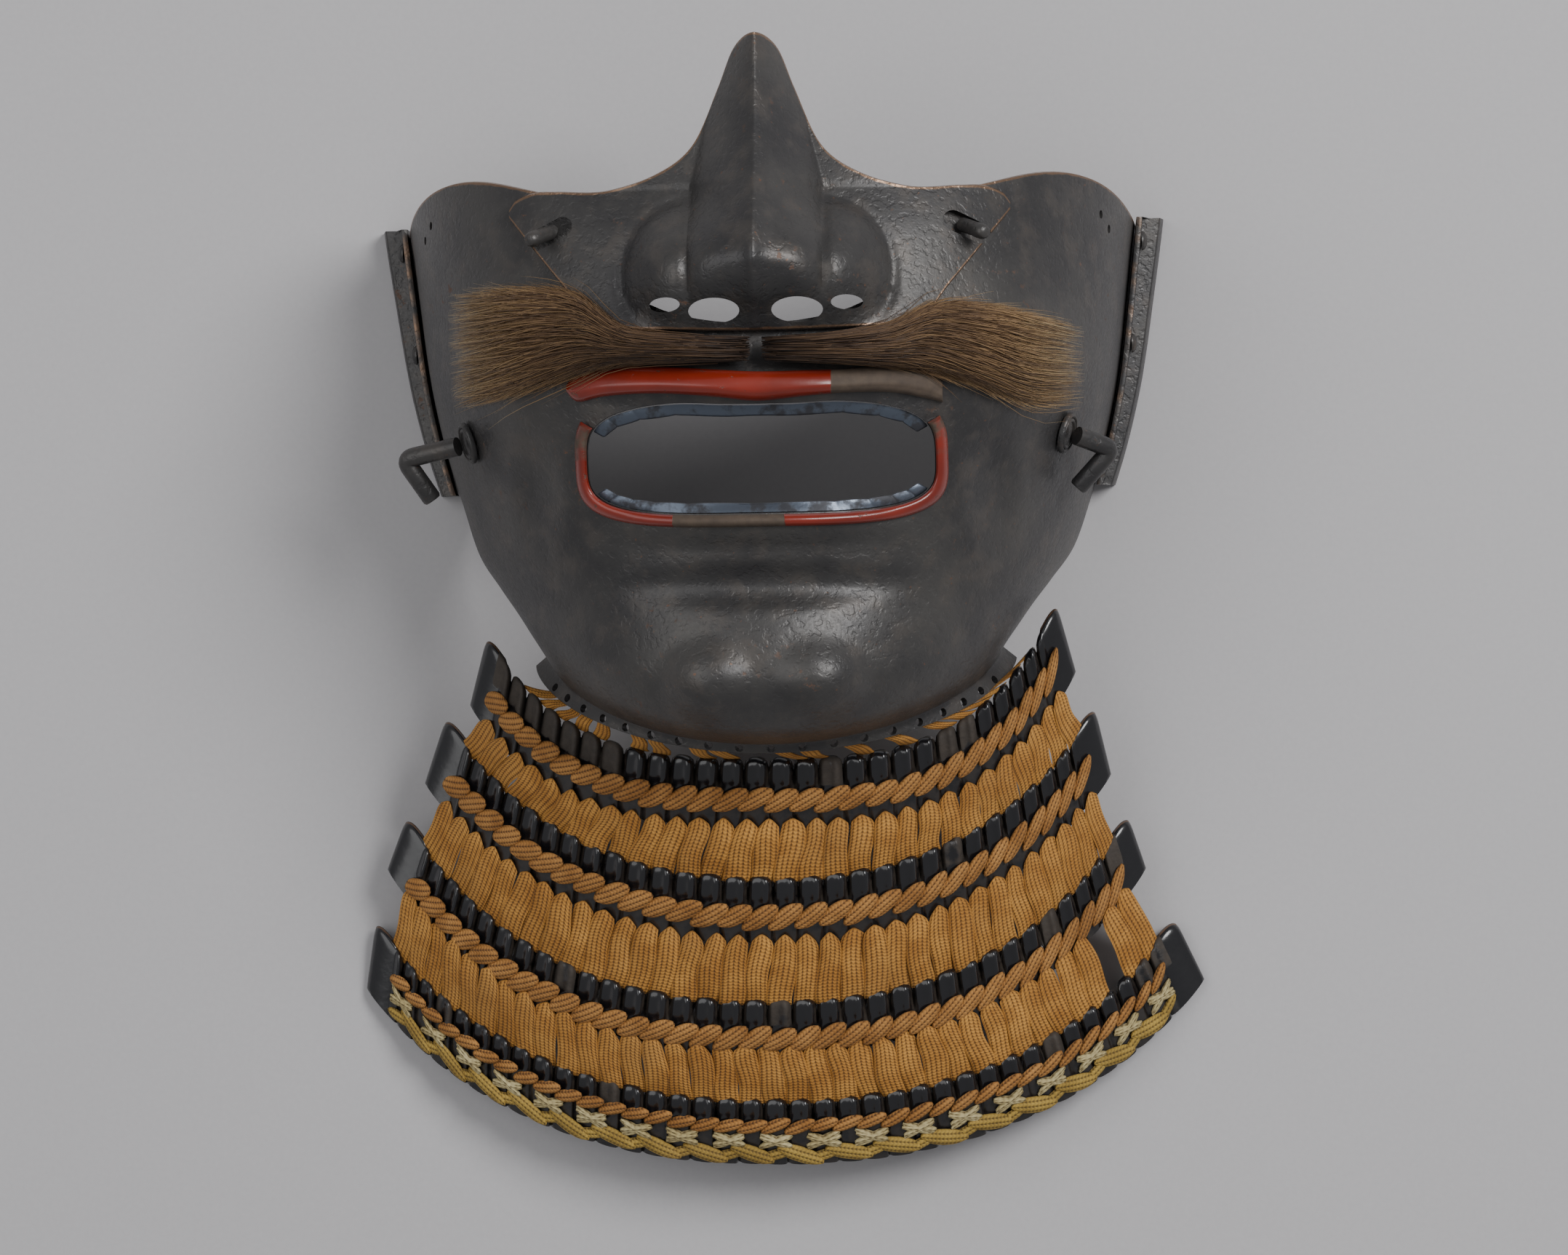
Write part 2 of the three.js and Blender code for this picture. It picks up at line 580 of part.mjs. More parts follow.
function slotOutline(side) {
  const from = new THREE.Vector2(side * NOSE_SLOT.fromX, NOSE_SLOT.fromY);
  const to = new THREE.Vector2(side * NOSE_SLOT.toX, NOSE_SLOT.toY);
  const across = to.clone().sub(from).normalize().multiplyScalar(NOSE_SLOT.width / 2);
  const turned = new THREE.Vector2(-across.y, across.x);
  const corners = [
    from.clone().add(turned),
    from.clone().sub(turned),
    to.clone().sub(turned),
    to.clone().add(turned),
  ];
  return corners.map((p) => [p.x, p.y]);
}

function nosePlate() {
  const front = grid(NOSE_ROWS, NOSE_COLUMNS, (i, j) => nosePoint(i, j, 0));
  const back = grid(NOSE_ROWS, NOSE_COLUMNS, (i, j) => nosePoint(i, j, NOSE_WALL));
  const cutters = [];
  for (const side of [-1, 1]) {
    for (const hole of [NOSTRIL, NOSTRIL_VENT]) {
      const oval = ovalOutline(side * hole.x, hole.y, hole.halfX, hole.halfY, 12);
      cutters.push(upright(oval, CUT_LOW, CUT_HIGH));
    }
    cutters.push(upright(slotOutline(side), CUT_LOW, CUT_HIGH));
  }
  return cutAll(slab(front, back), cutters);
}

// A round peg of the face plate that comes up through a slot and leans outwards over its end.
function nosePeg(side) {
  const ground = faceHeight(PEG.footX, PEG.footY);
  const foot = new THREE.Vector3(side * PEG.footX, PEG.footY, ground + PEG.stand);
  const tip = new THREE.Vector3(side * PEG.tipX, PEG.tipY, ground + PEG.rise);
  return bar(foot, tip, PEG.radius, PEG.sides);
}

// ---------------------------------------------------------------- face plate, flanges and hooks

function surfaceFrame(x, y) {
  const step = 0.5;
  const slopeX = (faceHeight(x + step, y) - faceHeight(x - step, y)) / (2 * step);
  const slopeY = (faceHeight(x, y + step) - faceHeight(x, y - step)) / (2 * step);
  return {
    point: new THREE.Vector3(x, y, faceHeight(x, y)),
    normal: new THREE.Vector3(-slopeX, -slopeY, 1).normalize(),
  };
}

// A round bar between two places.
function bar(from, to, radius, sides) {
  const length = from.distanceTo(to);
  const geometry = new THREE.CylinderGeometry(radius, radius, length, sides);
  const turn = new THREE.Quaternion().setFromUnitVectors(
    new THREE.Vector3(0, 1, 0),
    to.clone().sub(from).normalize(),
  );
  return geometry.applyQuaternion(turn).translate(...from.clone().add(to).multiplyScalar(0.5).toArray());
}

function twinHoleCutters() {
  const cutters = [];
  for (const side of [-1, 1]) {
    for (const hole of TWIN_HOLES) {
      const { point, normal } = surfaceFrame(side * hole.x, hole.y);
      const inside = point.clone().addScaledVector(normal, -HOLE_REACH);
      const outside = point.clone().addScaledVector(normal, HOLE_REACH);
      cutters.push(bar(inside, outside, TWIN_HOLE_RADIUS, 8));
    }
  }
  return cutters;
}

// Holes of the throat flange, drilled through its turned edge at an even pitch.
function flangeHoleCutters() {
  const last = FACE_SECTIONS.length - 1;
  const t = last - FLANGE_HOLE.inward;
  const cutters = [];
  const half = (FLANGE_HOLE.count - 1) / 2;
  for (let k = -half; k <= half; k += 1) {
    const angle = FLANGE_HOLE.spread * (k / half);
    const point = facePoint(t, angle, 0);
    const normal = faceNormal(t, angle);
    const inside = point.clone().addScaledVector(normal, -FLANGE_HOLE.reach);
    const outside = point.clone().addScaledVector(normal, FLANGE_HOLE.reach);
    cutters.push(bar(inside, outside, FLANGE_HOLE.radius, 6));
  }
  return cutters;
}

function facePlate() {
  const hole = NOSE_OPENING;
  const middle = 0.5 * (hole.low + hole.high);
  const noseHole = ovalOutline(0, middle, hole.halfWidth, 0.5 * (hole.high - hole.low), 20);
  const cutters = [
    upright(mouthOutline(0, 44), CUT_LOW, CUT_HIGH),
    upright(noseHole, CUT_LOW, CUT_HIGH),
    ...twinHoleCutters(),
    ...flangeHoleCutters(),
  ];
  return cutAll(faceLayer(0, PLATE_WALL), cutters);
}

function plateHalfWidth(y) {
  return along(FACE_SECTIONS, 'halfWidth', rowWhere(FACE_SECTIONS, 'yMid', y));
}

// L section: a leg up the side of the plate, a shelf outwards, and a lip down to the table.
function sideFlange(side) {
  const { top, bottom, legHeight, wall, reach, lipSpread, shelf } = FLANGE;
  const rings = [];
  for (let i = 0; i <= FLANGE_STEPS; i += 1) {
    const y = top + ((bottom - top) * i) / FLANGE_STEPS;
    const inner = plateHalfWidth(y) + GAP;
    const out = inner + reach * (1 - FLANGE.narrowing * (i / FLANGE_STEPS));
    const section = [
      [inner, shelf],
      [out - wall, shelf],
      [out - wall + lipSpread, 0],
      [out + lipSpread, 0],
      [out, shelf + wall],
      [inner + wall, shelf + wall],
      [inner + wall, legHeight],
      [inner, legHeight],
    ];
    rings.push(section.map(([x, z]) => new THREE.Vector3(side * x, y, z)));
  }
  return sweep(rings);
}

function domedHead(radius, height, sides) {
  const profile = [[0, 0], [radius, 0], [0.8 * radius, 0.6 * height], [0, height]];
  return new THREE.LatheGeometry(profile.map(([x, y]) => new THREE.Vector2(x, y)), sides);
}

function flangeRivet(side, k) {
  const y = RIVET.along[k];
  const face = plateHalfWidth(y) + 2 * GAP + FLANGE.wall;
  const head = domedHead(RIVET.radius, RIVET.height, 10).rotateZ(-side * 0.5 * Math.PI);
  return head.translate(side * face, y, RIVET.heights[k] + RIVET.lift);
}

// The rod stands on its washer, which lies on the side of the cheek.
function hookFoot(side, stand) {
  const { point, normal } = surfaceFrame(side * HOOK.footX, HOOK.footY);
  return { spot: point.addScaledVector(normal, stand), normal };
}

function hookWasher(side) {
  const { spot, normal } = hookFoot(side, WASHER.stand);
  const outline = new THREE.Shape(
    ovalOutline(0, 0, WASHER.halfWidth, WASHER.halfLength, 16).map(([x, y]) => new THREE.Vector2(x, y)),
  );
  const disc = new THREE.ExtrudeGeometry(outline, { depth: WASHER.thick, bevelEnabled: false });
  const turn = new THREE.Quaternion().setFromUnitVectors(new THREE.Vector3(0, 0, 1), normal);
  return disc.applyQuaternion(turn).translate(spot.x, spot.y, spot.z);
}

// Two round legs that meet in a tight bend.
function cordHook(side, hook) {
  const foot = hookFoot(side, HOOK.stand).spot;
  const elbow = new THREE.Vector3(side * hook.elbowX, hook.elbowY, hook.elbowZ);
  const tip = new THREE.Vector3(side * hook.tipX, hook.tipY, hook.tipZ);
  const first = elbow.clone().sub(foot).normalize();
  const second = tip.clone().sub(elbow).normalize();
  const between = first.clone().add(second).normalize();
  const up = first.clone().cross(second).normalize();
  const ringAt = (centre, direction) => {
    const flat = up.clone().cross(direction).normalize();
    return Array.from({ length: HOOK.sides }, (_, k) => {
      const turn = (2 * Math.PI * k) / HOOK.sides;
      return centre.clone()
        .addScaledVector(up, HOOK.radius * Math.cos(turn))
        .addScaledVector(flat, HOOK.radius * Math.sin(turn));
    });
  };
  const beforeBend = elbow.clone().addScaledVector(first, -HOOK.bend);
  const afterBend = elbow.clone().addScaledVector(second, HOOK.bend);
  const midBend = beforeBend.clone().add(afterBend).add(elbow).divideScalar(3);
  return sweep([
    ringAt(foot, first),
    ringAt(beforeBend, first),
    ringAt(midBend, between),
    ringAt(afterBend, second),
    ringAt(tip, second),
  ]);
}

// ---------------------------------------------------------------- moustache

function tuft(side, table) {
  const rows = 12;
  const last = table.length - 1;
  const point = (i, j, upper) => {
    const t = i * last;
    const x = side * along(table, 'x', t);
    const low = along(table, 'low', t);
    const high = along(table, 'high', t);
    const y = low + (high - low) * j;
    const swell = Math.sqrt(Math.max(0, 1 - (2 * j - 1) ** 2));
    const floor = faceHeight(x, y) + TUFT_CLEARANCE;
    return new THREE.Vector3(x, y, floor + (upper ? 0.5 + along(table, 'thick', t) * swell : 0));
  };
  return slab(grid(rows, 6, (i, j) => point(i, j, true)), grid(rows, 6, (i, j) => point(i, j, false)));
}

// ---------------------------------------------------------------- throat guard

// Upper edge of a lame, sampled so that it can be walked by its length.
function lameEdge(lame) {
  const samples = [];
  const steps = 160;
  let length = 0;
  for (let k = 0; k <= steps; k += 1) {
    const x = lame.fromX + ((lame.toX - lame.fromX) * k) / steps;
    const share = Math.min(Math.abs(x - lame.xMid) / lame.reachX, 1);
    const rise = 1 - (1 - share ** lame.fullness) ** (1 / ARCH_CROWN);
    const middle = 0.5 * (lame.fromX + lame.toX);
    const out = Math.abs(x - middle) / (lame.toX - middle);
    const z = lame.zMid - (lame.zMid - lame.zEnd) * out * out;
    const point = new THREE.Vector3(x, lame.yMid + lame.reachY * rise, z);
    if (k > 0) length += point.distanceTo(samples[k - 1].point);
    samples.push({ point, length });
  }
  return samples;
}

const EDGES = LAMES.map(lameEdge);

// Place on a lame: share of its length from 0 to 1, distance down its face, height over its face.
function lamePoint(number, share, down, lift) {
  const edge = EDGES[number];
  const lame = LAMES[number];
  const wanted = Math.min(Math.max(share, 0), 1) * edge[edge.length - 1].length;
  let k = 1;
  while (k < edge.length - 1 && edge[k].length < wanted) k += 1;
  const a = edge[k - 1];
  const b = edge[k];
  const f = (wanted - a.length) / (b.length - a.length);
  const point = a.point.clone().lerp(b.point, f);
  const side = 2 * share - 1;
  const slope = degrees(lame.slope) * (1 - (1 - END_SLOPE) * side * side);
  const fan = degrees(side < 0 ? lame.fanLeft : lame.fanRight) * side;
  const out = new THREE.Vector3(Math.sin(fan), -Math.cos(fan), 0);
  const across = out.clone().multiplyScalar(Math.cos(slope)).setZ(-Math.sin(slope));
  const normal = out.multiplyScalar(Math.sin(slope)).setZ(Math.cos(slope));
  return point.addScaledVector(across, down).addScaledVector(normal, lift);
}

// A lame: one strip whose upper edge is cut into rounded scale heads.
function lameBody(number) {
  const lame = LAMES[number];
  const columns = lame.scales * 3;
  const layer = (lift) => [0, 1].map((level) => Array.from({ length: columns + 1 }, (_, j) => {
    const start = j % 3 === 0 ? HEAD_NOTCH : 0;
    return lamePoint(number, j / columns, start + (lame.height - start) * level, lift);
  }));
  return slab(layer(0), layer(-LAME_THICK));
}

// A band on the face of a lame, swollen once for each of its loops.
function faceBand(number, size, loops, fromShare, toShare) {
  const columns = loops * 2;
  const layer = (upper) => [0, 1].map((level) => Array.from({ length: columns + 1 }, (_, j) => {
    const share = fromShare + ((toShare - fromShare) * j) / columns;
    const swell = j % 2 === 1 ? 1 : size.waist ?? 0.5;
    const middle = 0.5 * (size.from + size.to);
    const half = 0.5 * (size.to - size.from) * (0.75 + 0.25 * swell);
    return lamePoint(number, share, middle + half * (2 * level - 1), GAP + (upper ? size.thick * swell : 0));
  }));
  return slab(layer(true), layer(false));
}

// A corrugated band of flat laces between an upper and a lower edge.
function laceBand(laces, upperEdge, lowerEdge, outward) {
  const columns = laces * 2;
  const layer = (upper) => [0, 1].map((level) => Array.from({ length: columns + 1 }, (_, j) => {
    const share = j / columns;
    const thick = j % 2 === 1 ? LACE_THICK : LACE_VALLEY;
    return upperEdge(share).lerp(lowerEdge(share), level).addScaledVector(outward(share), upper ? thick : 0);
  }));
  return slab(layer(true), layer(false));
}

function hangingLacing(number) {
  const above = LAMES[number];
  const inset = (share) => LACES_FROM + (LACES_TO - LACES_FROM) * share;
  return laceBand(
    LACES_PER_GAP[number],
    (share) => lamePoint(number, inset(share), above.height + LACE_CLEARANCE, -LACE_DROP),
    (share) => lamePoint(number + 1, inset(share), -LACE_CLEARANCE, -LACE_DROP),
    () => new THREE.Vector3(0, 0, 1),
  );
}

// Laces from the holes of the throat flange down to the first lame.
function chinLacing() {
  const last = FACE_SECTIONS.length - 1;
  const angleAt = (share) => CHIN_LACES.spread * (share - 0.5);
  const start = (share) => {
    const edge = facePoint(last, angleAt(share), 0);
    const outward = edge.clone().sub(facePoint(last - 0.5, angleAt(share), 0)).normalize();
    const point = maskPlace(edge.addScaledVector(outward, CHIN_LACES.out));
    point.z -= CHIN_LACES.below;
    return point;
  };
  const end = (share) => {
    const lameShare = THREE.MathUtils.lerp(CHIN_LACES.from, CHIN_LACES.to, share);
    return lamePoint(0, lameShare, -CHIN_LACES.clearance, -LACE_DROP);
  };
  const outward = (share) => {
    const angle = angleAt(share);
    const { forward, up } = CHIN_LACES;
    return new THREE.Vector3(forward * Math.sin(angle), -forward * Math.cos(angle), up);
  };
  return laceBand(CHIN_LACES.count, start, end, outward);
}

// ---------------------------------------------------------------- assembly

// The mask sits on its guard a little turned, and its front a little to one side.
const maskMatrix = new THREE.Matrix4()
  .makeTranslation(MASK_OFFSET_X, 0, 0)
  .multiply(new THREE.Matrix4().makeRotationZ(MASK_TURN))
  .multiply(new THREE.Matrix4().set(1, 0, MASK_LEAN, 0, 0, 1, 0, 0, 0, 0, 1, 0, 0, 0, 0, 1));

function maskPlace(point) {
  return point.clone().applyMatrix4(maskMatrix);
}

const mask = new THREE.Group();
const throatGuard = new THREE.Group();

function add(group, name, geometry, material) {
  const mesh = new THREE.Mesh(geometry, material);
  mesh.name = name;
  group.add(mesh);
}

function addToMask(name, geometry, material) {
  add(mask, name, bareGeometry(geometry).applyMatrix4(maskMatrix), material);
}

addToMask('face_plate', facePlate(), iron());
addToMask('nose_plate', nosePlate(), iron());
addToMask('upper_lip', fittedToPlate(upperLip()), redLacquer());
addToMask('lower_lip', fittedToPlate(lowerLip()), redLacquer());
addToMask('upper_teeth', upperTeeth(), silver());
addToMask('lower_teeth', lowerTeeth(), silver());
const SIDES = [
  { word: 'left', side: -1, hairs: TUFT_LEFT, hook: HOOK_LEFT },
  { word: 'right', side: 1, hairs: TUFT_RIGHT, hook: HOOK_RIGHT },
];
for (const { word, side, hairs, hook } of SIDES) {
  addToMask(`nose_peg_${word}`, nosePeg(side), iron());
  addToMask(`side_flange_${word}`, sideFlange(side), iron());
  addToMask(`flange_rivet_${word}_1`, flangeRivet(side, 0), iron());
  addToMask(`flange_rivet_${word}_2`, flangeRivet(side, 1), iron());
  addToMask(`cord_hook_${word}`, cordHook(side, hook), iron());
  addToMask(`hook_washer_${word}`, hookWasher(side), iron());
  addToMask(`moustache_${word}`, tuft(side, hairs), hair());
}

LAMES.forEach((lame, number) => {
  add(throatGuard, `lame_${number + 1}`, lameBody(number), lacquer());
  const rope = number === 3 ? ROPE_LOWEST : ROPE;
  const ropeBand = faceBand(number, rope, lame.scales - 3, ROPE_FROM, ROPE_TO);
  add(throatGuard, `rope_lacing_${number + 1}`, ropeBand, orangeLace());
});
for (const number of [0, 1, 2]) {
  add(throatGuard, `hanging_lacing_${number + 1}`, hangingLacing(number), orangeLace());
}
add(throatGuard, 'chin_lacing', chinLacing(), orangeLace());
add(throatGuard, 'knot_row', faceBand(3, KNOTS, KNOTS.count, ROW_FROM, ROW_TO), paleLace());
add(throatGuard, 'leaf_row', faceBand(3, LEAVES, LEAVES.count, ROW_FROM, ROW_TO), greenLace());

const faceGuard = new THREE.Group();
faceGuard.position.set(FRAME_SHIFT.x, FRAME_SHIFT.y, FRAME_SHIFT.z);
faceGuard.add(mask, throatGuard);

export default faceGuard;
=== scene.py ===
# %% [markdown]
# # A samurai face guard
# The guard is a half mask of dark hammered iron for the cheeks, mouth and chin. A nose plate sits on
# two pegs, a hair moustache hides the join, and a throat guard of four laced lames hangs below.
# The CAD model gives every size. This script keeps its places and makes each piece fine enough to
# look at closely. All lengths below are millimetres until a mesh is made.

# %% Load the frame
import math

import bpy
import numpy as np
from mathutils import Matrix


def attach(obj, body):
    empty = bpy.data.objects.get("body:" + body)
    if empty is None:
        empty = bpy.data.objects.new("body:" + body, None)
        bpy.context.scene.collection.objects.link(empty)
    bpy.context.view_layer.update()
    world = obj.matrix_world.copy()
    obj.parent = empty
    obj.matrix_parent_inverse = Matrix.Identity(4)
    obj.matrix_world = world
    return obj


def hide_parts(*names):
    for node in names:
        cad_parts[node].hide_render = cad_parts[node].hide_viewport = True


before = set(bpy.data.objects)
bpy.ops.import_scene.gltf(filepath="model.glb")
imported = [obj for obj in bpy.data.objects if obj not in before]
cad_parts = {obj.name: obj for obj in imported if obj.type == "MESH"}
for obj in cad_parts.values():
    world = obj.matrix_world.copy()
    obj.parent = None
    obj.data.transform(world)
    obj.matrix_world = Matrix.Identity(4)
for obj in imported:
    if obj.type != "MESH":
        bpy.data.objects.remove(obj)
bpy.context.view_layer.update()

MM = 0.001

# %% [markdown]
# ## Camera
# The guard lies on its back on a table and the camera looks straight down at it. A long lens from
# 1.3 m keeps the nose, which stands 105 mm up, from growing too large against the throat guard.

# %% Camera
EYE = (-0.00035, -0.00304, 1.3)     # over the middle of the guard
LENS = 137.4                        # a long lens, on a sensor 36 mm wide

camera = bpy.data.objects.new("camera", bpy.data.cameras.new("camera"))
camera.data.lens = LENS
camera.data.clip_start = 0.05
camera.location = EYE
bpy.context.scene.collection.objects.link(camera)
bpy.context.scene.camera = camera
print("camera at", EYE, "with a lens of", LENS, "mm")

# %% [markdown]
# ## Shader wires
# A material is a graph of nodes. Written as Python expressions it reads like the arithmetic it is:
# `Wire` holds one output socket, and adding or multiplying wires adds the Math nodes.


# %% Wires between nodes
class Wire:
    """One output of a node. Arithmetic on wires adds Math nodes; node() adds any other node."""

    def __init__(self, tree, socket):
        self.tree = tree
        self.socket = socket

    def node(self, kind, settings=(), inputs=(), output=0):
        """A new node: its settings first, then a number, colour or wire for each named input."""
        made = self.tree.nodes.new("ShaderNode" + kind)
        for name, value in dict(settings).items():
            if name == "stops":
                fill_ramp(made.color_ramp, value)
            else:
                setattr(made, name, value)
        for name, value in dict(inputs).items():
            if isinstance(value, Wire):
                self.tree.links.new(value.socket, made.inputs[name])
            else:
                made.inputs[name].default_value = value
        return Wire(self.tree, made.outputs[output])

    def math(self, operation, *values):
        return self.node("Math", {"operation": operation}, enumerate(values))

    def __add__(self, other):
        return self.math("ADD", self, other)

    def __sub__(self, other):
        return self.math("SUBTRACT", self, other)

    def __rsub__(self, other):
        return self.math("SUBTRACT", other, self)

    def __mul__(self, other):
        return self.math("MULTIPLY", self, other)

    def __truediv__(self, other):
        return self.math("DIVIDE", self, other)

    def __abs__(self):
        return self.math("ABSOLUTE", self)

    def __mod__(self, other):
        return self.math("FLOORED_MODULO", self, other)

    __radd__ = __add__
    __rmul__ = __mul__

    def step(self, low, high):
        """0 below low, 1 above high, and smooth between them; a falling step if high is lower."""
        ends = {"Value": self, "From Min": low, "From Max": high}
        return self.node("MapRange", {"interpolation_type": "SMOOTHSTEP"}, ends)

    def noise(self, scale, detail=3.0, roughness=0.5, distortion=0.0):
        """Cloudy noise at this place, about 0.5, with features about 1 / scale metres across."""
        values = {"Vector": self, "Scale": scale, "Detail": detail}
        values.update({"Roughness": roughness, "Distortion": distortion})
        return self.node("TexNoise", (), values)

    def blend(self, first, second):
        """The first colour where this wire is 0, and the second where it is 1."""
        return self.node("Mix", {"data_type": "RGBA"}, {0: self, 6: first, 7: second}, 2)


def fill_ramp(ramp, stops):
    while len(ramp.elements) < len(stops):
        ramp.elements.new(1.0)
    for element, (place, colour) in zip(ramp.elements, stops):
        element.position = place
        element.color = colour


class Finish:
    """A new material with its Principled shader, and the places that its patterns read."""

    def __init__(self, name):
        self.material = bpy.data.materials.new(name)
        self.material.use_nodes = True
        self.tree = self.material.node_tree
        self.shader = self.tree.nodes["Principled BSDF"]
        coordinates = self.tree.nodes.new("ShaderNodeTexCoord")
        self.place = Wire(self.tree, coordinates.outputs["Object"])
        self.cloth = Wire(self.tree, coordinates.outputs["UV"])

    def set(self, **values):
        """Numbers, colours or wires for the shader's sockets, such as base_color or roughness."""
        for name, value in values.items():
            socket = self.shader.inputs[name.replace("_", " ").title().replace("Ior", "IOR")]
            if isinstance(value, Wire):
                self.tree.links.new(value.socket, socket)
            else:
                socket.default_value = value
        return self

    def attribute(self, name):
        """A number that the mesh carries at each of its points."""
        return self.place.node("Attribute", {"attribute_name": name}, (), "Fac")

    def relief(self, height, depth, strength=1.0):
        """A bump whose height wire, from 0 to 1, stands for this depth in metres."""
        bump = self.place.node("Bump", (), {"Height": height, "Distance": depth, "Strength": strength})
        self.tree.links.new(bump.socket, self.shader.inputs["Normal"])
        return self


def rgb(red, green, blue):
    """A linear colour from the three 0 to 255 values of a paint chart."""
    return (*(((c / 255 + 0.055) / 1.055) ** 2.4 if c > 10 else c / 3294.6 for c in (red, green, blue)), 1.0)


print("shader tools ready")

# %% [markdown]
# ## Table and light
# A plain pale table fills the view. One large soft light stands to the right of and above the
# guard, so that the nose and cheeks shade gently towards the left, and a weak broad one opposite
# keeps the shadows open. The sky adds the rest.

# %% Table and light
FLOOR_SIZE = 3.0
FLOOR_DROP = 0.0002         # the table stops just under the guard
KEY_PLACE = (0.75, 0.55, 1.15)
KEY_SIZE, KEY_POWER = 0.7, 16.0
FILL_PLACE = (-0.9, 0.2, 1.2)
FILL_SIZE, FILL_POWER = 1.4, 7.0
SKY = 0.55


def floor_piece():
    half = FLOOR_SIZE / 2
    mesh = bpy.data.meshes.new("floor")
    corners = [(-half, -half), (half, -half), (half, half), (-half, half)]
    mesh.from_pydata([(x, y, -FLOOR_DROP) for x, y in corners], [], [(0, 1, 2, 3)])
    floor = bpy.data.objects.new("floor", mesh)
    bpy.context.scene.collection.objects.link(floor)
    paper = Finish("pale_table")
    fleck = paper.place.noise(900, 4)
    paper.set(base_color=fleck.blend(rgb(186, 184, 186), rgb(194, 192, 193)), roughness=0.85)
    mesh.materials.append(paper.material)
    return floor


def soft_light(name, place, size, power, colour=(1, 1, 1)):
    lamp = bpy.data.lights.new(name, "AREA")
    lamp.shape, lamp.size, lamp.energy, lamp.color = "DISK", size, power, colour
    light = bpy.data.objects.new(name, lamp)
    x, y, z = place
    light.location = place
    light.rotation_euler = (math.atan2(math.hypot(x, y), z), 0, math.atan2(x, -y))
    bpy.context.scene.collection.objects.link(light)
    return light


floor_piece()
soft_light("key", KEY_PLACE, KEY_SIZE, KEY_POWER)
soft_light("fill", FILL_PLACE, FILL_SIZE, FILL_POWER)
world = bpy.data.worlds.new("sky")
world.use_nodes = True
world.node_tree.nodes["Background"].inputs["Color"].default_value = rgb(196, 197, 200)
world.node_tree.nodes["Background"].inputs["Strength"].default_value = SKY
bpy.context.scene.world = world
print("table and two lights ready")

# %% [markdown]
# ## Meshes from arrays
# Most pieces here are a grid of points, a front and a back, joined round the rim. numpy works out
# all the points at once, and Blender gets them as flat arrays, which is far quicker than a loop.


# %% Meshes from arrays
def grid_faces(rows, columns, wrap=False):
    """Corner numbers of each four-sided face of a grid; wrap joins the last column to the first."""
    i, j = np.meshgrid(np.arange(rows - 1), np.arange(columns - (not wrap)), indexing="ij")
    k = (j + 1) % columns
    corners = [i * columns + j, (i + 1) * columns + j, (i + 1) * columns + k, i * columns + k]
    return np.stack(corners, -1).reshape(-1, 4)


def slab(front, back, bulge=0.0):
    """A closed body between two grids. Its rim is a line half way between them, pushed out by bulge."""
    rows, columns = front.shape[:2]
    count = rows * columns
    number = np.arange(count).reshape(rows, columns)
    i, j = np.meshgrid(np.arange(rows), np.arange(columns), indexing="ij")
    ring = [part.ravel() for part in (number[0, :-1], number[:-1, -1], number[-1, :0:-1], number[:0:-1, 0])]
    ring = np.concatenate(ring)
    inside = number[np.clip(i, 1, rows - 2), np.clip(j, 1, columns - 2)].ravel()[ring]
    flat_front, flat_back = front.reshape(-1, 3), back.reshape(-1, 3)
    outward = flat_front[ring] - flat_front[inside]
    outward /= np.maximum(np.linalg.norm(outward, axis=1, keepdims=True), 1e-9)
    rim = (flat_front[ring] + flat_back[ring]) / 2 + bulge * outward
    faces = grid_faces(rows, columns)
    edge = 2 * count + np.arange(len(ring))
    following = np.roll(np.arange(len(ring)), -1)
    walls = [
        np.stack([ring, ring[following], edge[following], edge], 1),
        np.stack([edge, edge[following], ring[following] + count, ring + count], 1),
    ]
    every_face = np.concatenate([faces, faces[:, ::-1] + count, *walls])
    return np.concatenate([flat_front, flat_back, rim]), every_face


def tube(rings, closed=False):
    """A body through rings of points, shape (rings, points, 3). Its ends shrink to their middles."""
    if not closed:
        caps = [np.repeat(ring.mean(0, keepdims=True), len(ring), 0) for ring in (rings[0], rings[-1])]
        inner = 0.98 * caps[0] + 0.02 * rings[0], 0.98 * caps[1] + 0.02 * rings[-1]
        rings = np.concatenate([[inner[0]], rings, [inner[1]]])
    count, around = rings.shape[:2]
    faces = grid_faces(count, around, wrap=True)
    if closed:
        last = (count - 1) * around + np.arange(around)
        after = (np.arange(around) + 1) % around
        faces = np.concatenate([faces, np.stack([last, np.arange(around), after, last[after]], 1)])
        return rings.reshape(-1, 3), faces
    ends = [np.arange(around)[None], ((count - 1) * around + np.arange(around))[::-1][None]]
    return rings.reshape(-1, 3), [faces, *ends]


def joined(parts):
    """Several (points, faces) bodies as one."""
    points, faces, start = [], [], 0
    for some, theirs in parts:
        points.append(some)
        faces += [block + start for block in (theirs if isinstance(theirs, list) else [theirs])]
        start += len(some)
    return np.concatenate(points), faces


def volume(points, faces):
    """Signed volume: positive if the faces point outwards."""
    total = 0.0
    for block in faces if isinstance(faces, list) else [faces]:
        a = points[block[:, 0]]
        for k in range(1, block.shape[1] - 1):
            total += np.einsum("ij,ij->", a, np.cross(points[block[:, k]], points[block[:, k + 1]]))
    return total / 6


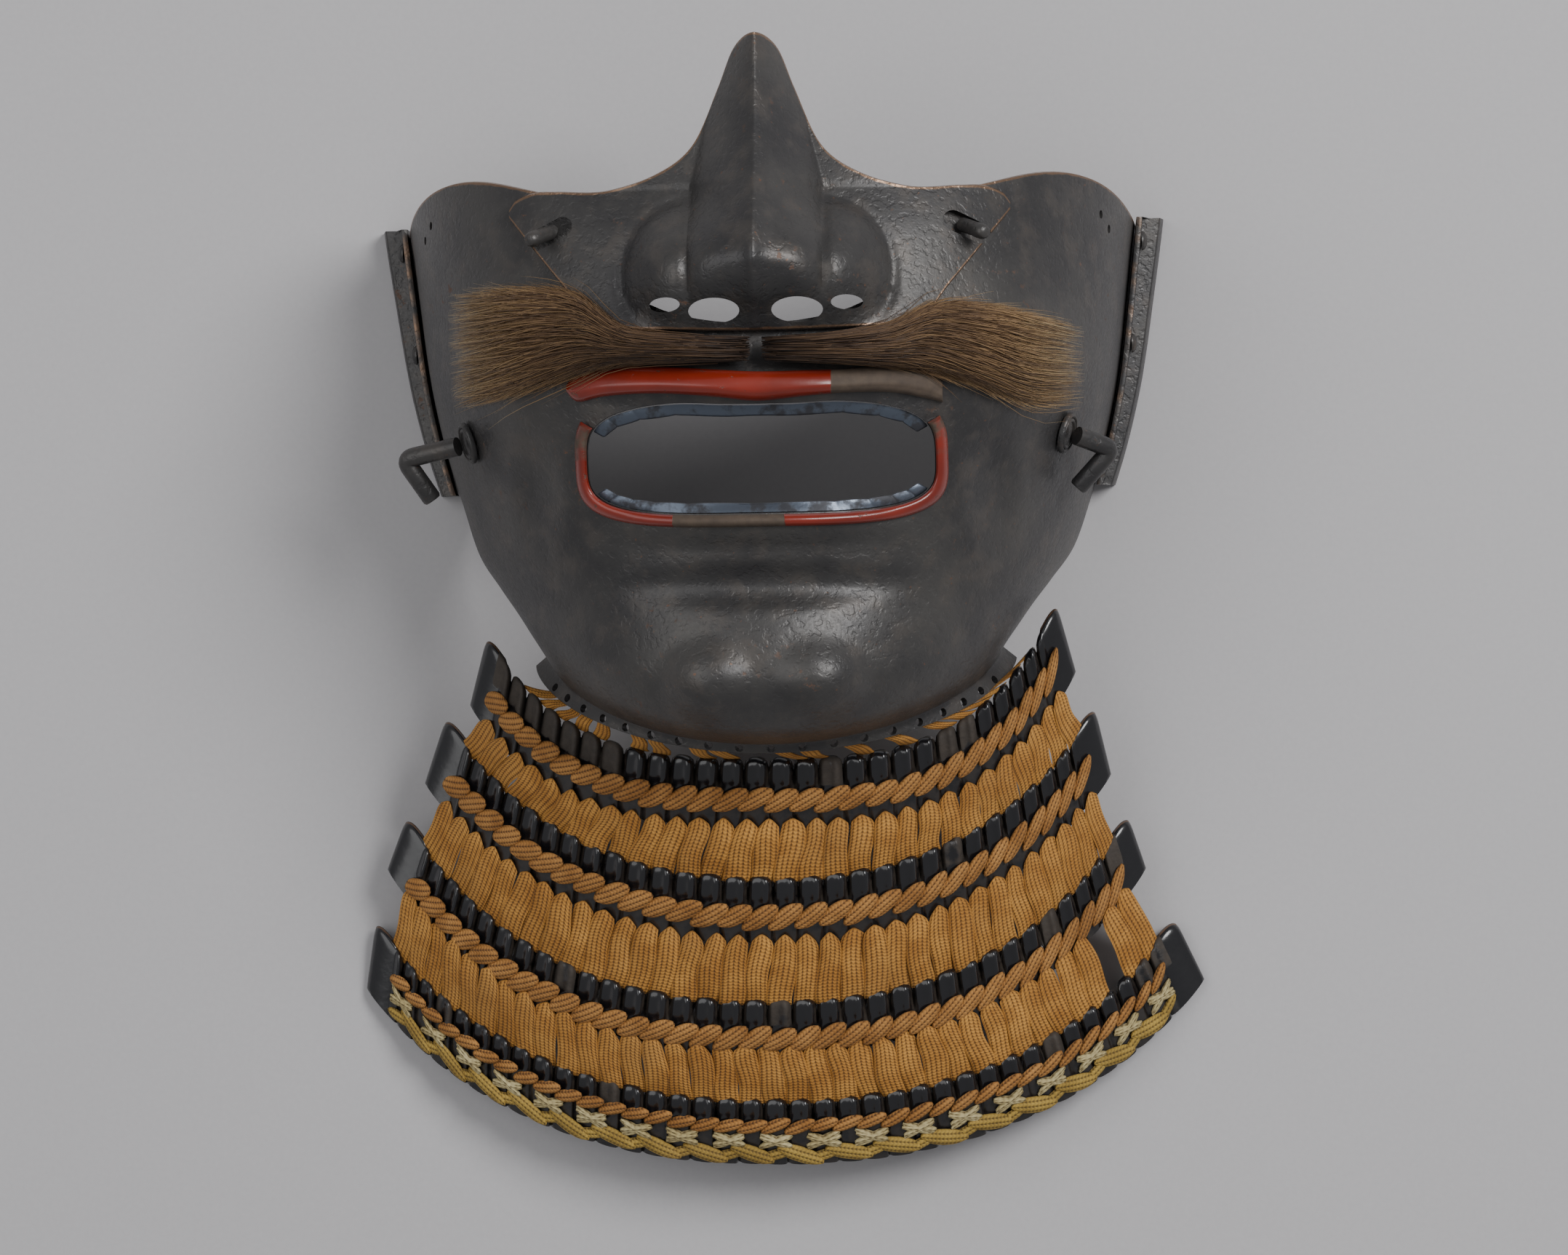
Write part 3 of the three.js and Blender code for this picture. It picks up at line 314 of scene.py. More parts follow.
def mesh_of(name, body, uv=None, sharp=50, **numbers):
    """A mesh in metres. uv holds two numbers for each point, and numbers more values by name."""
    points, faces = body
    blocks = faces if isinstance(faces, list) else [faces]
    if volume(points, faces) < 0:
        blocks = [block[:, ::-1] for block in blocks]
    sizes = np.concatenate([np.full(len(block), block.shape[1]) for block in blocks])
    corners = np.concatenate([block.ravel() for block in blocks]).astype(np.int32)
    mesh = bpy.data.meshes.new(name)
    mesh.vertices.add(len(points))
    mesh.vertices.foreach_set("co", (points * MM).astype(np.float32).ravel())
    mesh.loops.add(len(corners))
    mesh.loops.foreach_set("vertex_index", corners)
    mesh.polygons.add(len(sizes))
    mesh.polygons.foreach_set("loop_start", np.concatenate([[0], np.cumsum(sizes)[:-1]]).astype(np.int32))
    mesh.update(calc_edges=True)
    mesh.shade_smooth()
    mesh.set_sharp_from_angle(angle=math.radians(sharp))
    if uv is not None:
        mesh.uv_layers.new(name="cloth").uv.foreach_set("vector", uv[corners].astype(np.float32).ravel())
    for label, values in numbers.items():
        layer = mesh.attributes.new(label, "FLOAT", "POINT").data
        layer.foreach_set("value", values.astype(np.float32).ravel())
    return mesh


def piece(mesh, finish, slot, *stands_for):
    """Puts a mesh in the scene as a piece on the guard's one body, in place of some CAD nodes."""
    made = bpy.data.objects.new(mesh.name, mesh)
    bpy.context.scene.collection.objects.link(made)
    mesh.materials.clear()
    mesh.materials.append(finish.material)
    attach(made, "root")
    if stands_for:
        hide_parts(*stands_for)
    mesh.calc_loop_triangles()
    print(f"{made.name}: {len(mesh.loop_triangles)} triangles")
    return made


def cut(mesh, cutters, **fresh):
    """The mesh less the cutter bodies, worked out by a Boolean modifier on a passing pair of objects."""
    solid = bpy.data.objects.new("solid", mesh)
    tool = bpy.data.objects.new("tool", mesh_of("tool", joined(cutters)))
    for thing in (solid, tool):
        bpy.context.scene.collection.objects.link(thing)
    boolean = solid.modifiers.new("cut", "BOOLEAN")
    boolean.object, boolean.operation, boolean.solver = tool, "DIFFERENCE", "MANIFOLD"
    result = bpy.data.meshes.new_from_object(solid.evaluated_get(bpy.context.evaluated_depsgraph_get()))
    name = mesh.name
    for thing in (solid, tool):
        bpy.data.objects.remove(thing)
    bpy.data.meshes.remove(mesh)
    result.name = name
    result.shade_smooth()
    result.set_sharp_from_angle(angle=math.radians(40))
    return result


print("mesh tools ready")

# %% [markdown]
# ## The form of the hammered plate
# The mask is an arch that changes from the temples to the chin. A table holds a few cross sections,
# and smooth curves through its columns give every section between them. On top of the arch lie
# the raised and sunk places that the armourer worked from behind: chin, lips, cheeks and folds.

# %% Curves through tables
GAP = 0.3


def table(names, *rows):
    """The columns of a table by name."""
    return dict(zip(names.split(), np.array(rows, float).T))


def along(column, t):
    """A Catmull-Rom curve through a column's numbers, at row numbers t."""
    last = len(column) - 1
    i = np.clip(np.floor(t), 0, last - 1).astype(int)
    f = t - i
    a, b, c, d = (column[np.clip(i + k, 0, last)] for k in (-1, 0, 1, 2))
    return b + 0.5 * f * (c - a + f * (2 * a - 5 * b + 4 * c - d + f * (3 * (b - c) + d - a)))


def row_where(column, wanted):
    """Row numbers at which the curve through a column reaches the wanted numbers."""
    t = np.linspace(0, len(column) - 1, 4001)
    values = along(column, t)
    turn = 1 if values[-1] > values[0] else -1
    return np.interp(wanted, np.maximum.accumulate(values[::turn]), t[::turn])


def bell(dx, dy=0.0):
    """A round hill: 1 at its middle and 0 from one half width out."""
    return np.maximum(0, 1 - dx * dx - dy * dy) ** 2


def ease(value, low, high):
    """0 below low, 1 above high, and a smooth rise between them."""
    share = np.clip((value - low) / (high - low), 0, 1)
    return share * share * (3 - 2 * share)


def unit(vectors):
    return vectors / np.maximum(np.linalg.norm(vectors, axis=-1, keepdims=True), 1e-12)


def stack(x, y, z):
    return np.stack(np.broadcast_arrays(x, y, z), -1).astype(float)


# %% The arch of the face plate
FACE = table(
    "y_mid z_mid y_side z_side half fullness crown",
    (87, 80, 87, 0, 78.5, 2.6, 2.0), (78, 84, 78, 0, 77.6, 2.6, 2.0), (66, 88, 66, 0, 76.2, 2.6, 2.0),
    (56, 91, 56, 0, 75, 2.6, 2.0), (47, 92, 47, 0, 73.6, 2.5, 2.0), (36, 90, 36, 0, 71.2, 2.4, 2.0),
    (25, 87, 25, 0, 68, 2.3, 2.0), (14, 84, 14, 9, 64, 2.2, 1.9), (4, 83, 7, 17, 59, 2.1, 1.8),
    (-6, 85, 2, 23, 55, 2.0, 1.7), (-15, 85, -2, 27, 52, 2.0, 1.6), (-23, 79, -5, 29, 49.5, 2.0, 1.6),
    (-26.5, 69, -7, 28.5, 48.2, 2.0, 1.6), (-26.2, 61, -7.5, 26.5, 48.4, 2.0, 1.6),
    (-28.6, 58.8, -9.8, 25, 51.2, 2.0, 1.6),
)
FACE_END = len(FACE["half"]) - 1
FACE_WALL = 1.6
RELIEF = (   # x, y, half width, half height, and how far it stands up; the same on both sides
    (12, -13, 11, 10, 3.2), (0, 6, 34, 6, -2.6), (0, 47, 42, 6, 2.6),
    (0, 18, 36, 5, 2.2), (52, 50, 15, 26, 2.4), (47, 26, 7, 17, -2.0),
)
TOP_RISE, TOP_RISE_X, TOP_RISE_HALF, TOP_CORNER = 4.2, 64, 24, 6
RELIEF_TURN = (-12, -2)


def relief(x, y):
    """Sum of the hills and hollows at a place seen from the front."""
    return sum(up * bell((abs(x) - px) / wide, (y - py) / high) for px, py, wide, high, up in RELIEF)


def face_arch(t, turn):
    """x goes with the sine of turn; height falls from the crown as (1 - sine^fullness)^(1 / crown)."""
    across = abs(np.sin(turn))
    rise = np.maximum(1 - across ** along(FACE["fullness"], t), 0) ** (1 / along(FACE["crown"], t))
    x = np.sin(turn) * along(FACE["half"], t)
    cheek_rise = TOP_RISE * bell((abs(x) - TOP_RISE_X) / TOP_RISE_HALF)
    rim = cheek_rise - TOP_CORNER * across ** (7 * along(FACE["fullness"], t))
    low_y, low_z = along(FACE["y_side"], t), np.maximum(along(FACE["z_side"], t), 0)
    y = low_y + (along(FACE["y_mid"], t) - low_y) * rise + rim * np.maximum(0, 1 - t)
    return stack(x, y, low_z + (along(FACE["z_mid"], t) - low_z) * rise)


def face_normal(t, turn):
    """Square to the arch: the cross product of a small step down it and one across it."""
    step, edge = 0.02, math.pi / 2
    down = face_arch(np.minimum(t + step, FACE_END), turn) - face_arch(np.maximum(t - step, 0), turn)
    right = face_arch(t, np.minimum(turn + step, edge)) - face_arch(t, np.maximum(turn - step, -edge))
    return unit(np.cross(down, right))


def face_point(t, turn, depth=0.0):
    """The arch, with its relief standing forward, or square to the plate under the chin."""
    point, normal = face_arch(t, turn), face_normal(t, turn)
    forward = ease(point[..., 1], *RELIEF_TURN)[..., None]
    direction = unit(np.array([0, 0, 1.0]) * forward + normal * (1 - forward))
    raised = relief(point[..., 0], point[..., 1])[..., None] * direction
    point = point + raised - np.asarray(depth)[..., None] * normal
    point[..., 2] = np.maximum(point[..., 2], 0)
    return point


def face_height(x, y):
    """Height of the outer face over the table, where the sections stand upright."""
    t = row_where(FACE["y_mid"], y)
    share = np.minimum(abs(x) / along(FACE["half"], t), 1)
    rise = (1 - share ** along(FACE["fullness"], t)) ** (1 / along(FACE["crown"], t))
    low = along(FACE["z_side"], t)
    return low + (along(FACE["z_mid"], t) - low) * rise + relief(x, y)


# %% [markdown]
# The mask lies on its guard a little turned, and its front leans a little to one side. One matrix
# does both; the throat guard only takes the small shift that centres the whole.

# %% Where the mask lies
SHIFT = np.array([-0.35, -0.44, 0.01])
MASK_AT, MASK_TURN, MASK_LEAN = -0.7, math.radians(1.0), -0.042
TURNED = np.array([
    [math.cos(MASK_TURN), -math.sin(MASK_TURN), 0], [math.sin(MASK_TURN), math.cos(MASK_TURN), 0], [0, 0, 1],
])
MASK_MATRIX = TURNED @ np.array([[1, 0, MASK_LEAN], [0, 1, 0], [0, 0, 1]])
MASK_SPOT = np.array([MASK_AT, 0, 0]) + SHIFT


def on_mask(points):
    return points @ MASK_MATRIX.T + MASK_SPOT


def off_mask(points):
    """The way back: a point of the finished mask, in the mask's own upright coordinates."""
    return (points - MASK_SPOT) @ np.linalg.inv(MASK_MATRIX).T


def placed(body):
    return on_mask(body[0]), body[1]


def points_of(mesh):
    """All points of a mesh, in millimetres."""
    flat = np.empty(3 * len(mesh.vertices), np.float32)
    mesh.vertices.foreach_get("co", flat)
    return flat.reshape(-1, 3).astype(float) / MM


def mark(mesh, name, values):
    """One number at each point of the mesh, for a material to read."""
    mesh.attributes.new(name, "FLOAT", "POINT").data.foreach_set("value", values.astype(np.float32))


# %% [markdown]
# ## Russet iron
# The plate is hammered iron with a dark, stable rust. Close to, the surface is finely pitted, cloudy
# between black and brown, with orange rust in small specks and bright metal where edges have rubbed.
# Layers of noise at different sizes give the clouds, pits and specks; the mesh carries a number
# called worn that is 1 along the rubbed edges.


# %% Russet iron
def russet_iron(name="russet_iron", warm=0.0):
    finish = Finish(name)
    place = finish.place
    cloud = place.noise(38, 5, 0.6)
    patch = place.noise(160, 4, 0.6)
    grit = place.noise(1500, 3, 0.6)
    pits = place.noise(620, 2, 0.5)
    rust_area = place.noise(55, 3, 0.5).step(0.54, 0.72)
    rust = place.noise(420, 4, 0.65).step(0.60, 0.70) * rust_area
    specks = place.noise(900, 2, 0.5).step(0.70, 0.76) * (patch.step(0.35, 0.6) * 0.7 + 0.3)
    worn = finish.attribute("worn")
    rubbed = (worn * 1.3 + place.noise(300, 3) * 0.9 - 0.75).step(0.15, 0.55)
    dark = cloud.step(0.3, 0.7).blend(rgb(56, 55, 56), rgb(76, 74, 72))
    mottled = (patch.step(0.46, 0.70) * 0.4).blend(dark, rgb(92, 85, 79))
    speckled = (rust * 0.6 + specks * 0.5).blend(mottled, rgb(124, 84, 58))
    edged = (rubbed * 0.8).blend(speckled, rgb(140, 112, 90))
    finish.set(
        base_color=edged,
        metallic=0.45 + rubbed * 0.3,
        roughness=0.33 + grit.step(0.3, 0.7) * 0.10 + rust * 0.3 + cloud * 0.10 - rubbed * 0.08,
        specular_ior_level=0.6,
    )
    height = grit * 0.35 + pits.step(0.36, 0.5) * 0.4 + patch * 0.25 - rust * 0.3
    return finish.relief(height, 0.00022, 0.55)


IRON = russet_iron()
print("russet iron has", len(IRON.tree.nodes), "nodes")

# %% [markdown]
# ## Face plate
# The whole plate is one grid from the top edge to the turned flange under the chin, with an inner
# skin 1.6 mm behind it. The mouth, the nose hole, the twin holes at the temples and the row of
# lace holes in the flange are cut through afterwards, as the smith would.

# %% Face plate
FACE_ROWS, FACE_COLUMNS = 150, 200
MOUTH_HALF, MOUTH_TOP, MOUTH_BOTTOM, MOUTH_MIDDLE, MOUTH_ROUND = 35.4, 43.4, 20.6, 31.5, 3.6
MOUTH_DIP, MOUTH_DIP_WIDTH = 0.7, 0.16      # the upper edge dips a little in its middle
NOSE_HOLE = (27, 59, 80)                    # half width, lowest and highest point
TWIN_HOLES = ((70.6, 83.2), (72.3, 80.4))
LACE_HOLES, LACE_HOLE_SPREAD, LACE_HOLE_ROW = 19, math.radians(68), FACE_END - 0.42
HOLE_RADIUS = 0.9


def mouth_edge(turn, margin=0.0):
    """A squarish oval: the sine and cosine of turn to the power 2 / 3.6, grown by a margin."""
    c, s = np.cos(turn), np.sin(turn)
    high = np.where(s > 0, MOUTH_TOP - MOUTH_MIDDLE, MOUTH_MIDDLE - MOUTH_BOTTOM) + margin
    dip = np.where(s > 0, MOUTH_DIP * np.exp(-((c / MOUTH_DIP_WIDTH) ** 2)), 0)
    power = 2 / MOUTH_ROUND
    x = (MOUTH_HALF + margin) * np.sign(c) * abs(c) ** power
    return x, MOUTH_MIDDLE + high * np.sign(s) * abs(s) ** power - dip


def prism(x, y, low, high):
    """An upright body with this outline between two heights."""
    return tube(np.stack([stack(x, y, z) for z in (low, high)]))


def oval(x, y, half_x, half_y, sides=40):
    turn = np.linspace(0, 2 * math.pi, sides, endpoint=False)
    return x + half_x * np.cos(turn), y + half_y * np.sin(turn)


def rod(start, end, radius, sides=16, ends=()):
    """A round bar; ends are more (share of its length, share of its radius) rings at its far end."""
    start, end = np.asarray(start, float), np.asarray(end, float)
    way = unit(end - start)
    side = unit(np.cross(way, [0.31, 0.17, 0.93]))
    other = np.cross(way, side)
    turn = np.linspace(0, 2 * math.pi, sides, endpoint=False)[:, None]
    circle = side * np.cos(turn) + other * np.sin(turn)
    stops = [(0, 1), *(ends or [(1, 1)])]
    return tube(np.stack([start + (end - start) * s + radius * r * circle for s, r in stops]))


def surface_at(x, y):
    """A point of the outer face and the direction square to it."""
    step = 0.5
    slope_x = (face_height(x + step, y) - face_height(x - step, y)) / (2 * step)
    slope_y = (face_height(x, y + step) - face_height(x, y - step)) / (2 * step)
    return np.array([x, y, face_height(x, y)]), unit(np.array([-slope_x, -slope_y, 1.0]))


def face_plate():
    row_at, column_at = np.linspace(0, FACE_END, FACE_ROWS), np.linspace(-1, 1, FACE_COLUMNS)
    t, turn = np.meshgrid(row_at, column_at * math.pi / 2, indexing="ij")
    plate = mesh_of("face_shell", placed(slab(face_point(t, turn), face_point(t, turn, FACE_WALL), 0.3)))
    half, low, high = NOSE_HOLE
    holes = [
        prism(*mouth_edge(np.linspace(0, 2 * math.pi, 160, endpoint=False)), 60, 120),
        prism(*oval(0, (low + high) / 2, half, (high - low) / 2), 60, 120),
    ]
    for side in (-1, 1):
        for x, y in TWIN_HOLES:
            point, normal = surface_at(side * x, y)
            holes.append(rod(point - 4 * normal, point + 4 * normal, HOLE_RADIUS))
    for turn in np.linspace(-LACE_HOLE_SPREAD, LACE_HOLE_SPREAD, LACE_HOLES):
        point, normal = face_point(LACE_HOLE_ROW, turn), face_normal(LACE_HOLE_ROW, turn)
        holes.append(rod(point - 3.5 * normal, point + 3.5 * normal, HOLE_RADIUS, 12))
    plate = cut(plate, [placed(hole) for hole in holes])
    x, y, z = off_mask(points_of(plate)).T
    top = FACE["y_mid"][0] + TOP_RISE * bell((abs(x) - TOP_RISE_X) / TOP_RISE_HALF)
    top = top - TOP_CORNER * (abs(x) / FACE["half"][0]) ** 18
    mark(plate, "worn", np.maximum(1 - abs(top - y) / 0.9, 0.7 - z / 1.5).clip(0, 0.85))
    return plate


piece(face_plate(), IRON, "russet_iron", "face_plate")

# %% [markdown]
# ## Nose plate
# The nose is a separate plate that lies over the cheeks and rises in a folded spire above the
# brow. Its height is that of the face plate plus a gap and its own wall, and a ridge, two wings of
# the nostrils and the grooves round them are added.

# %% Nose plate
NOSE_ROWS, NOSE_COLUMNS = 96, 170
NOSE_WALL, NOSE_LIFT = 1.5, 0.7
NOSE_REACH, NOSE_BOTTOM, BRIDGE_HALF, SPIRE_FROM, SPIRE_FALL, SPIRE_TAPER = 51.5, 57.6, 13.5, 88, 0.35, 0.25
RIDGE = table(
    "y z", (57.6, 93.5), (61, 96.5), (65, 101.5), (69, 104.6), (73, 105.4),
    (80, 102), (90, 95), (100, 89), (110, 84.5), (118.6, 81.5),
)
NOSE_TOP = table(
    "x y", (-4.4, 116), (0, 118.6), (4.4, 116), (8, 107.3), (13.2, 95.7), (20.8, 89.9),
    (31, 86.9), (41, 87.2), (46, 87.3), (50, 86), (51.5, 84.2),
)
WING_EDGE = table("x y", (34, 59), (37.5, 65), (43.5, 72.5), (51.5, 82.6))
LOBE_X, LOBE_Y, LOBE_WIDE, LOBE_HIGH, LOBE_UP = 15, 71, 14, 16, 9.5
NOSTRIL, VENT = (8.4, 61.4, 5.2, 2.5), (18.4, 62.8, 3.2, 1.5)
SLOT_FROM, SLOT_TO, SLOT_WIDTH = (38.0, 80.9), (47.4, 76.4), 4.2
WING_GROOVE = (14, 69, 13.5, 15.5)      # middle and half sizes of the arched groove round each wing
GROOVE_DEEP, GROOVE_WIDE = 0.9, 1.1


def nose_top(x):
    return along(NOSE_TOP["y"], row_where(NOSE_TOP["x"], abs(x)))


def nose_bottom(x):
    """A shallow parabola under the nose, then the slanting edge of the wing."""
    middle = NOSE_BOTTOM + (WING_EDGE["y"][0] - NOSE_BOTTOM) * (x / WING_EDGE["x"][0]) ** 2
    wing = along(WING_EDGE["y"], row_where(WING_EDGE["x"], abs(x)))
    return np.where(abs(x) <= WING_EDGE["x"][0], middle, wing)


def nose_height(x, y):
    """The cheek's height plus the gap and the wall, a pointed ridge, and a hill for each nostril."""
    above = np.maximum(0, y - SPIRE_FROM)

    def flat(at):
        return face_height(at, y - above) + NOSE_LIFT + NOSE_WALL - SPIRE_FALL * above

    side = abs(x) / (BRIDGE_HALF - SPIRE_TAPER * above)
    crown = along(RIDGE["z"], row_where(RIDGE["y"], y)) - flat(0 * x)
    lobe = LOBE_UP * bell((abs(x) - LOBE_X) / LOBE_WIDE, (y - LOBE_Y) / LOBE_HIGH)
    return flat(x) + crown * np.maximum(0, 1 - side ** 1.3) + lobe


def nose_grooves(x, y):
    """An arched groove round each nostril wing, and a straight one where the wing meets the bridge."""
    middle_x, middle_y, wide, high = WING_GROOVE
    ring = np.hypot((abs(x) - middle_x) / wide, (y - middle_y) / high)
    arch = np.exp(-(((ring - 1) * wide / GROOVE_WIDE) ** 2)) * ease(abs(x), 11, 17) * ease(y, 58, 66)
    inner = np.exp(-(((abs(x) - middle_x) / GROOVE_WIDE) ** 2)) * ease(y, 62, 68) * (1 - ease(y, 80, 86))
    return GROOVE_DEEP * (arch + 0.6 * inner)


def slot_outline(side):
    start, end = np.array(SLOT_FROM), np.array(SLOT_TO)
    way = unit(end - start)
    turn = math.atan2(way[1], way[0])
    half = np.linspace(-math.pi / 2, math.pi / 2, 9)
    radius = SLOT_WIDTH / 2
    ends = [(end - way * radius, half + turn), (start + way * radius, half + turn + math.pi)]
    points = np.concatenate([at + radius * np.stack([np.cos(a), np.sin(a)], 1) for at, a in ends])
    return side * points[:, 0], points[:, 1]


def nose_plate():
    i, j = np.meshgrid(np.linspace(0, 1, NOSE_ROWS), np.linspace(-1, 1, NOSE_COLUMNS), indexing="ij")
    x = NOSE_REACH * (0.55 * j + 0.45 * j**3)
    y = nose_bottom(x) + (nose_top(x) - nose_bottom(x)) * i
    z = nose_height(x, y)
    front, back = stack(x, y, z - nose_grooves(x, y)), stack(x, y, z - NOSE_WALL)
    plate = mesh_of("nose_shell", placed(slab(front, back, 0.25)))
    holes = []
    for side in (-1, 1):
        for hole_x, hole_y, wide, high in (NOSTRIL, VENT):
            holes.append(prism(*oval(side * hole_x, hole_y, wide, high), 60, 120))
        holes.append(prism(*slot_outline(side), 40, 110))
    plate = cut(plate, [placed(hole) for hole in holes])
    x, y, z = off_mask(points_of(plate)).T
    edge = np.minimum(abs(nose_top(x) - y), abs(y - nose_bottom(x)))
    mark(plate, "worn", (1 - edge / 0.8).clip(0, 0.8))
    return plate


piece(nose_plate(), IRON, "russet_iron", "nose_plate")

# %% [markdown]
# ## Pegs, rivets, washers, hooks and side flanges
# These are small forged parts of the same iron: two domed pegs that come up through the slots of
# the nose plate, riveted L strips along the rear edges, and two bent hooks for the chin cord, each
# standing on a coiled washer. Round bars are circles carried along a bent path.

# %% Pegs and rivets
PEG_RADIUS, PEG_FOOT, PEG_TIP, PEG_STAND, PEG_RISE = 1.5, (41.8, 79.1), (46.6, 77.0), 1.5, 7.4
PEG_HEAD = 1.62
FLANGE_TOP, FLANGE_BOTTOM, FLANGE_LEG, FLANGE_WALL, FLANGE_REACH = 84.5, 27, 11, 1.3, 5.2
LIP_SPREAD, FLANGE_SHELF, FLANGE_NARROWING = 0.9, 4.6, 0.35
RIVET_RADIUS, RIVET_HEIGHT, RIVET_Z, RIVET_ALONG = 2.1, 1.2, 8.1, (79.5, 57.5)
SIDES = (("left", -1), ("right", 1))


def add_worn(mesh, amount):
    mark(mesh, "worn", np.full(len(mesh.vertices), amount))
    return mesh


def half_width(y):
    return along(FACE["half"], row_where(FACE["y_mid"], y))


def peg(side):
    ground = face_height(side * PEG_FOOT[0], PEG_FOOT[1])
    foot = (side * PEG_FOOT[0], PEG_FOOT[1], ground + PEG_STAND)
    tip = (side * PEG_TIP[0], PEG_TIP[1], ground + PEG_RISE)
    head = PEG_HEAD / PEG_RADIUS
    return rod(foot, tip, PEG_RADIUS, 28, [(0.55, 1), (0.66, head), (0.86, head), (0.95, 0.9), (1, 0.6)])


def rivet(side, y):
    """A shallow dome: its radius shrinks with the cosine as it rises with the sine."""
    face = side * (half_width(y) + 2 * GAP + FLANGE_WALL)
    turn = np.linspace(0, 0.45 * math.pi, 7)
    rings = [(math.sin(a), math.cos(a)) for a in turn[1:]]
    return rod((face, y, RIVET_Z), (face + side * RIVET_HEIGHT, y, RIVET_Z), RIVET_RADIUS, 28, rings)


for word, side in SIDES:
    piece(add_worn(mesh_of(f"peg_{word}", placed(peg(side))), 0.2), IRON, "russet_iron", f"nose_peg_{word}")
    for number, y in enumerate(RIVET_ALONG, 1):
        head = mesh_of(f"rivet_{word}_{number}", placed(rivet(side, y)))
        piece(add_worn(head, 0.3), IRON, "russet_iron", f"flange_rivet_{word}_{number}")

# %% Side flanges
FLANGE_STEPS, CORNER_STEPS, CORNER_CUT = 60, 3, 0.4


def rounded(corners, size):
    """A closed outline with each corner cut back by size on both sides and bulged between."""
    before, after = np.roll(corners, 1, 0), np.roll(corners, -1, 0)
    start, end = corners + size * unit(before - corners), corners + size * unit(after - corners)
    share = np.linspace(0, 1, CORNER_STEPS)[None, :, None]
    bends = (1 - share) ** 2 * start[:, None] + 2 * share * (1 - share) * corners[:, None]
    bends = bends + share**2 * end[:, None]
    return bends.reshape(-1, corners.shape[1])


def flange(side):
    """An L section carried along the side of the plate: a leg up it, a shelf out and a lip down."""
    rings = []
    for share in np.linspace(0, 1, FLANGE_STEPS):
        y = FLANGE_TOP + (FLANGE_BOTTOM - FLANGE_TOP) * share
        inner = half_width(y) + GAP
        out = inner + FLANGE_REACH * (1 - FLANGE_NARROWING * share)
        top = FLANGE_SHELF + FLANGE_WALL
        section = [
            (inner, FLANGE_SHELF), (out - FLANGE_WALL, FLANGE_SHELF), (out - FLANGE_WALL + LIP_SPREAD, 0),
            (out + LIP_SPREAD, 0), (out, top), (inner + FLANGE_WALL, top),
            (inner + FLANGE_WALL, FLANGE_LEG), (inner, FLANGE_LEG),
        ]
        bent = rounded(np.array(section, float), CORNER_CUT)
        rings.append(stack(side * bent[:, 0], y, bent[:, 1]))
    return tube(np.array(rings))


for word, side in SIDES:
    strip = mesh_of(f"flange_{word}", placed(flange(side)))
    x, y, z = off_mask(points_of(strip)).T
    mark(strip, "worn", (1 - abs(z - FLANGE_LEG) / 0.8).clip(0, 0.42))
    piece(strip, IRON, "russet_iron", f"side_flange_{word}")

# %% Hooks on their washers
HOOK_RADIUS, HOOK_FOOT, HOOK_STAND, HOOK_BEND = 2.0, (61.8, 37.2), 3.2, 2.4
HOOK_PATHS = {"left": ((76.4, 34.0, 46), (70.7, 25.4, 44)), "right": ((72.0, 33.6, 46), (64.6, 25.6, 45))}
WASHER_WIDE, WASHER_LONG, WASHER_THICK, WASHER_STAND = 3.5, 4.4, 1.1, 0.5
WASHER_COILS = 2


def bent_rod(points, radius, bend, sides=28):
    """A circle carried along three points, with the corner between them turned on a small arc."""
    foot, elbow, tip = (np.array(p, float) for p in points)
    first, second = unit(elbow - foot), unit(tip - elbow)
    share = np.linspace(0, 1, 9)[:, None]
    start, end = elbow - bend * first, elbow + bend * second
    arc = (1 - share) ** 2 * start + 2 * share * (1 - share) * elbow + share**2 * end
    line = np.concatenate([[foot, foot + 0.5 * (start - foot)], arc, [tip - 0.5 * second, tip]])
    way = unit(np.gradient(line, axis=0))
    up = unit(np.cross(first, second))
    flat = np.cross(up, way)
    turn = np.linspace(0, 2 * math.pi, sides, endpoint=False)[:, None]
    size = np.full(len(line), radius)
    size[-1] *= 0.86
    rings = line[:, None] + size[:, None, None] * (up * np.cos(turn) + flat[:, None] * np.sin(turn))
    return tube(rings)


def washer(side):
    """A flat collar with two turned coils, like a rope wound round the foot of the hook."""
    point, normal = surface_at(side * HOOK_FOOT[0], HOOK_FOOT[1])
    point = point + WASHER_STAND * normal
    across = unit(np.cross([0, 1.0, 0], normal))
    length = np.cross(normal, across)
    turn = np.linspace(0, 2 * math.pi, 40, endpoint=False)
    roll = np.linspace(0, math.pi, 13)
    height = WASHER_THICK * (0.62 + 0.38 * abs(np.sin(WASHER_COILS * roll)))
    rings = []
    for share, lift in zip(1 - 0.45 * roll / math.pi, height):
        oval_points = WASHER_WIDE * share * np.cos(turn)[:, None] * across
        oval_points = oval_points + WASHER_LONG * share * np.sin(turn)[:, None] * length
        rings.append(point + oval_points + lift * normal)
    foot = point + (rings[0] - point - height[0] * normal)
    return tube(np.stack([foot, *rings]))


for word, side in SIDES:
    point, normal = surface_at(side * HOOK_FOOT[0], HOOK_FOOT[1])
    path = [point + HOOK_STAND * normal, *[(side * x, y, z) for x, y, z in HOOK_PATHS[word]]]
    hook = mesh_of(f"hook_{word}", placed(bent_rod(path, HOOK_RADIUS, HOOK_BEND)))
    piece(add_worn(hook, 0.2), IRON, "russet_iron", f"cord_hook_{word}")
    collar = mesh_of(f"washer_{word}", placed(washer(side)))
    piece(add_worn(collar, 0.3), IRON, "russet_iron", f"hook_washer_{word}")

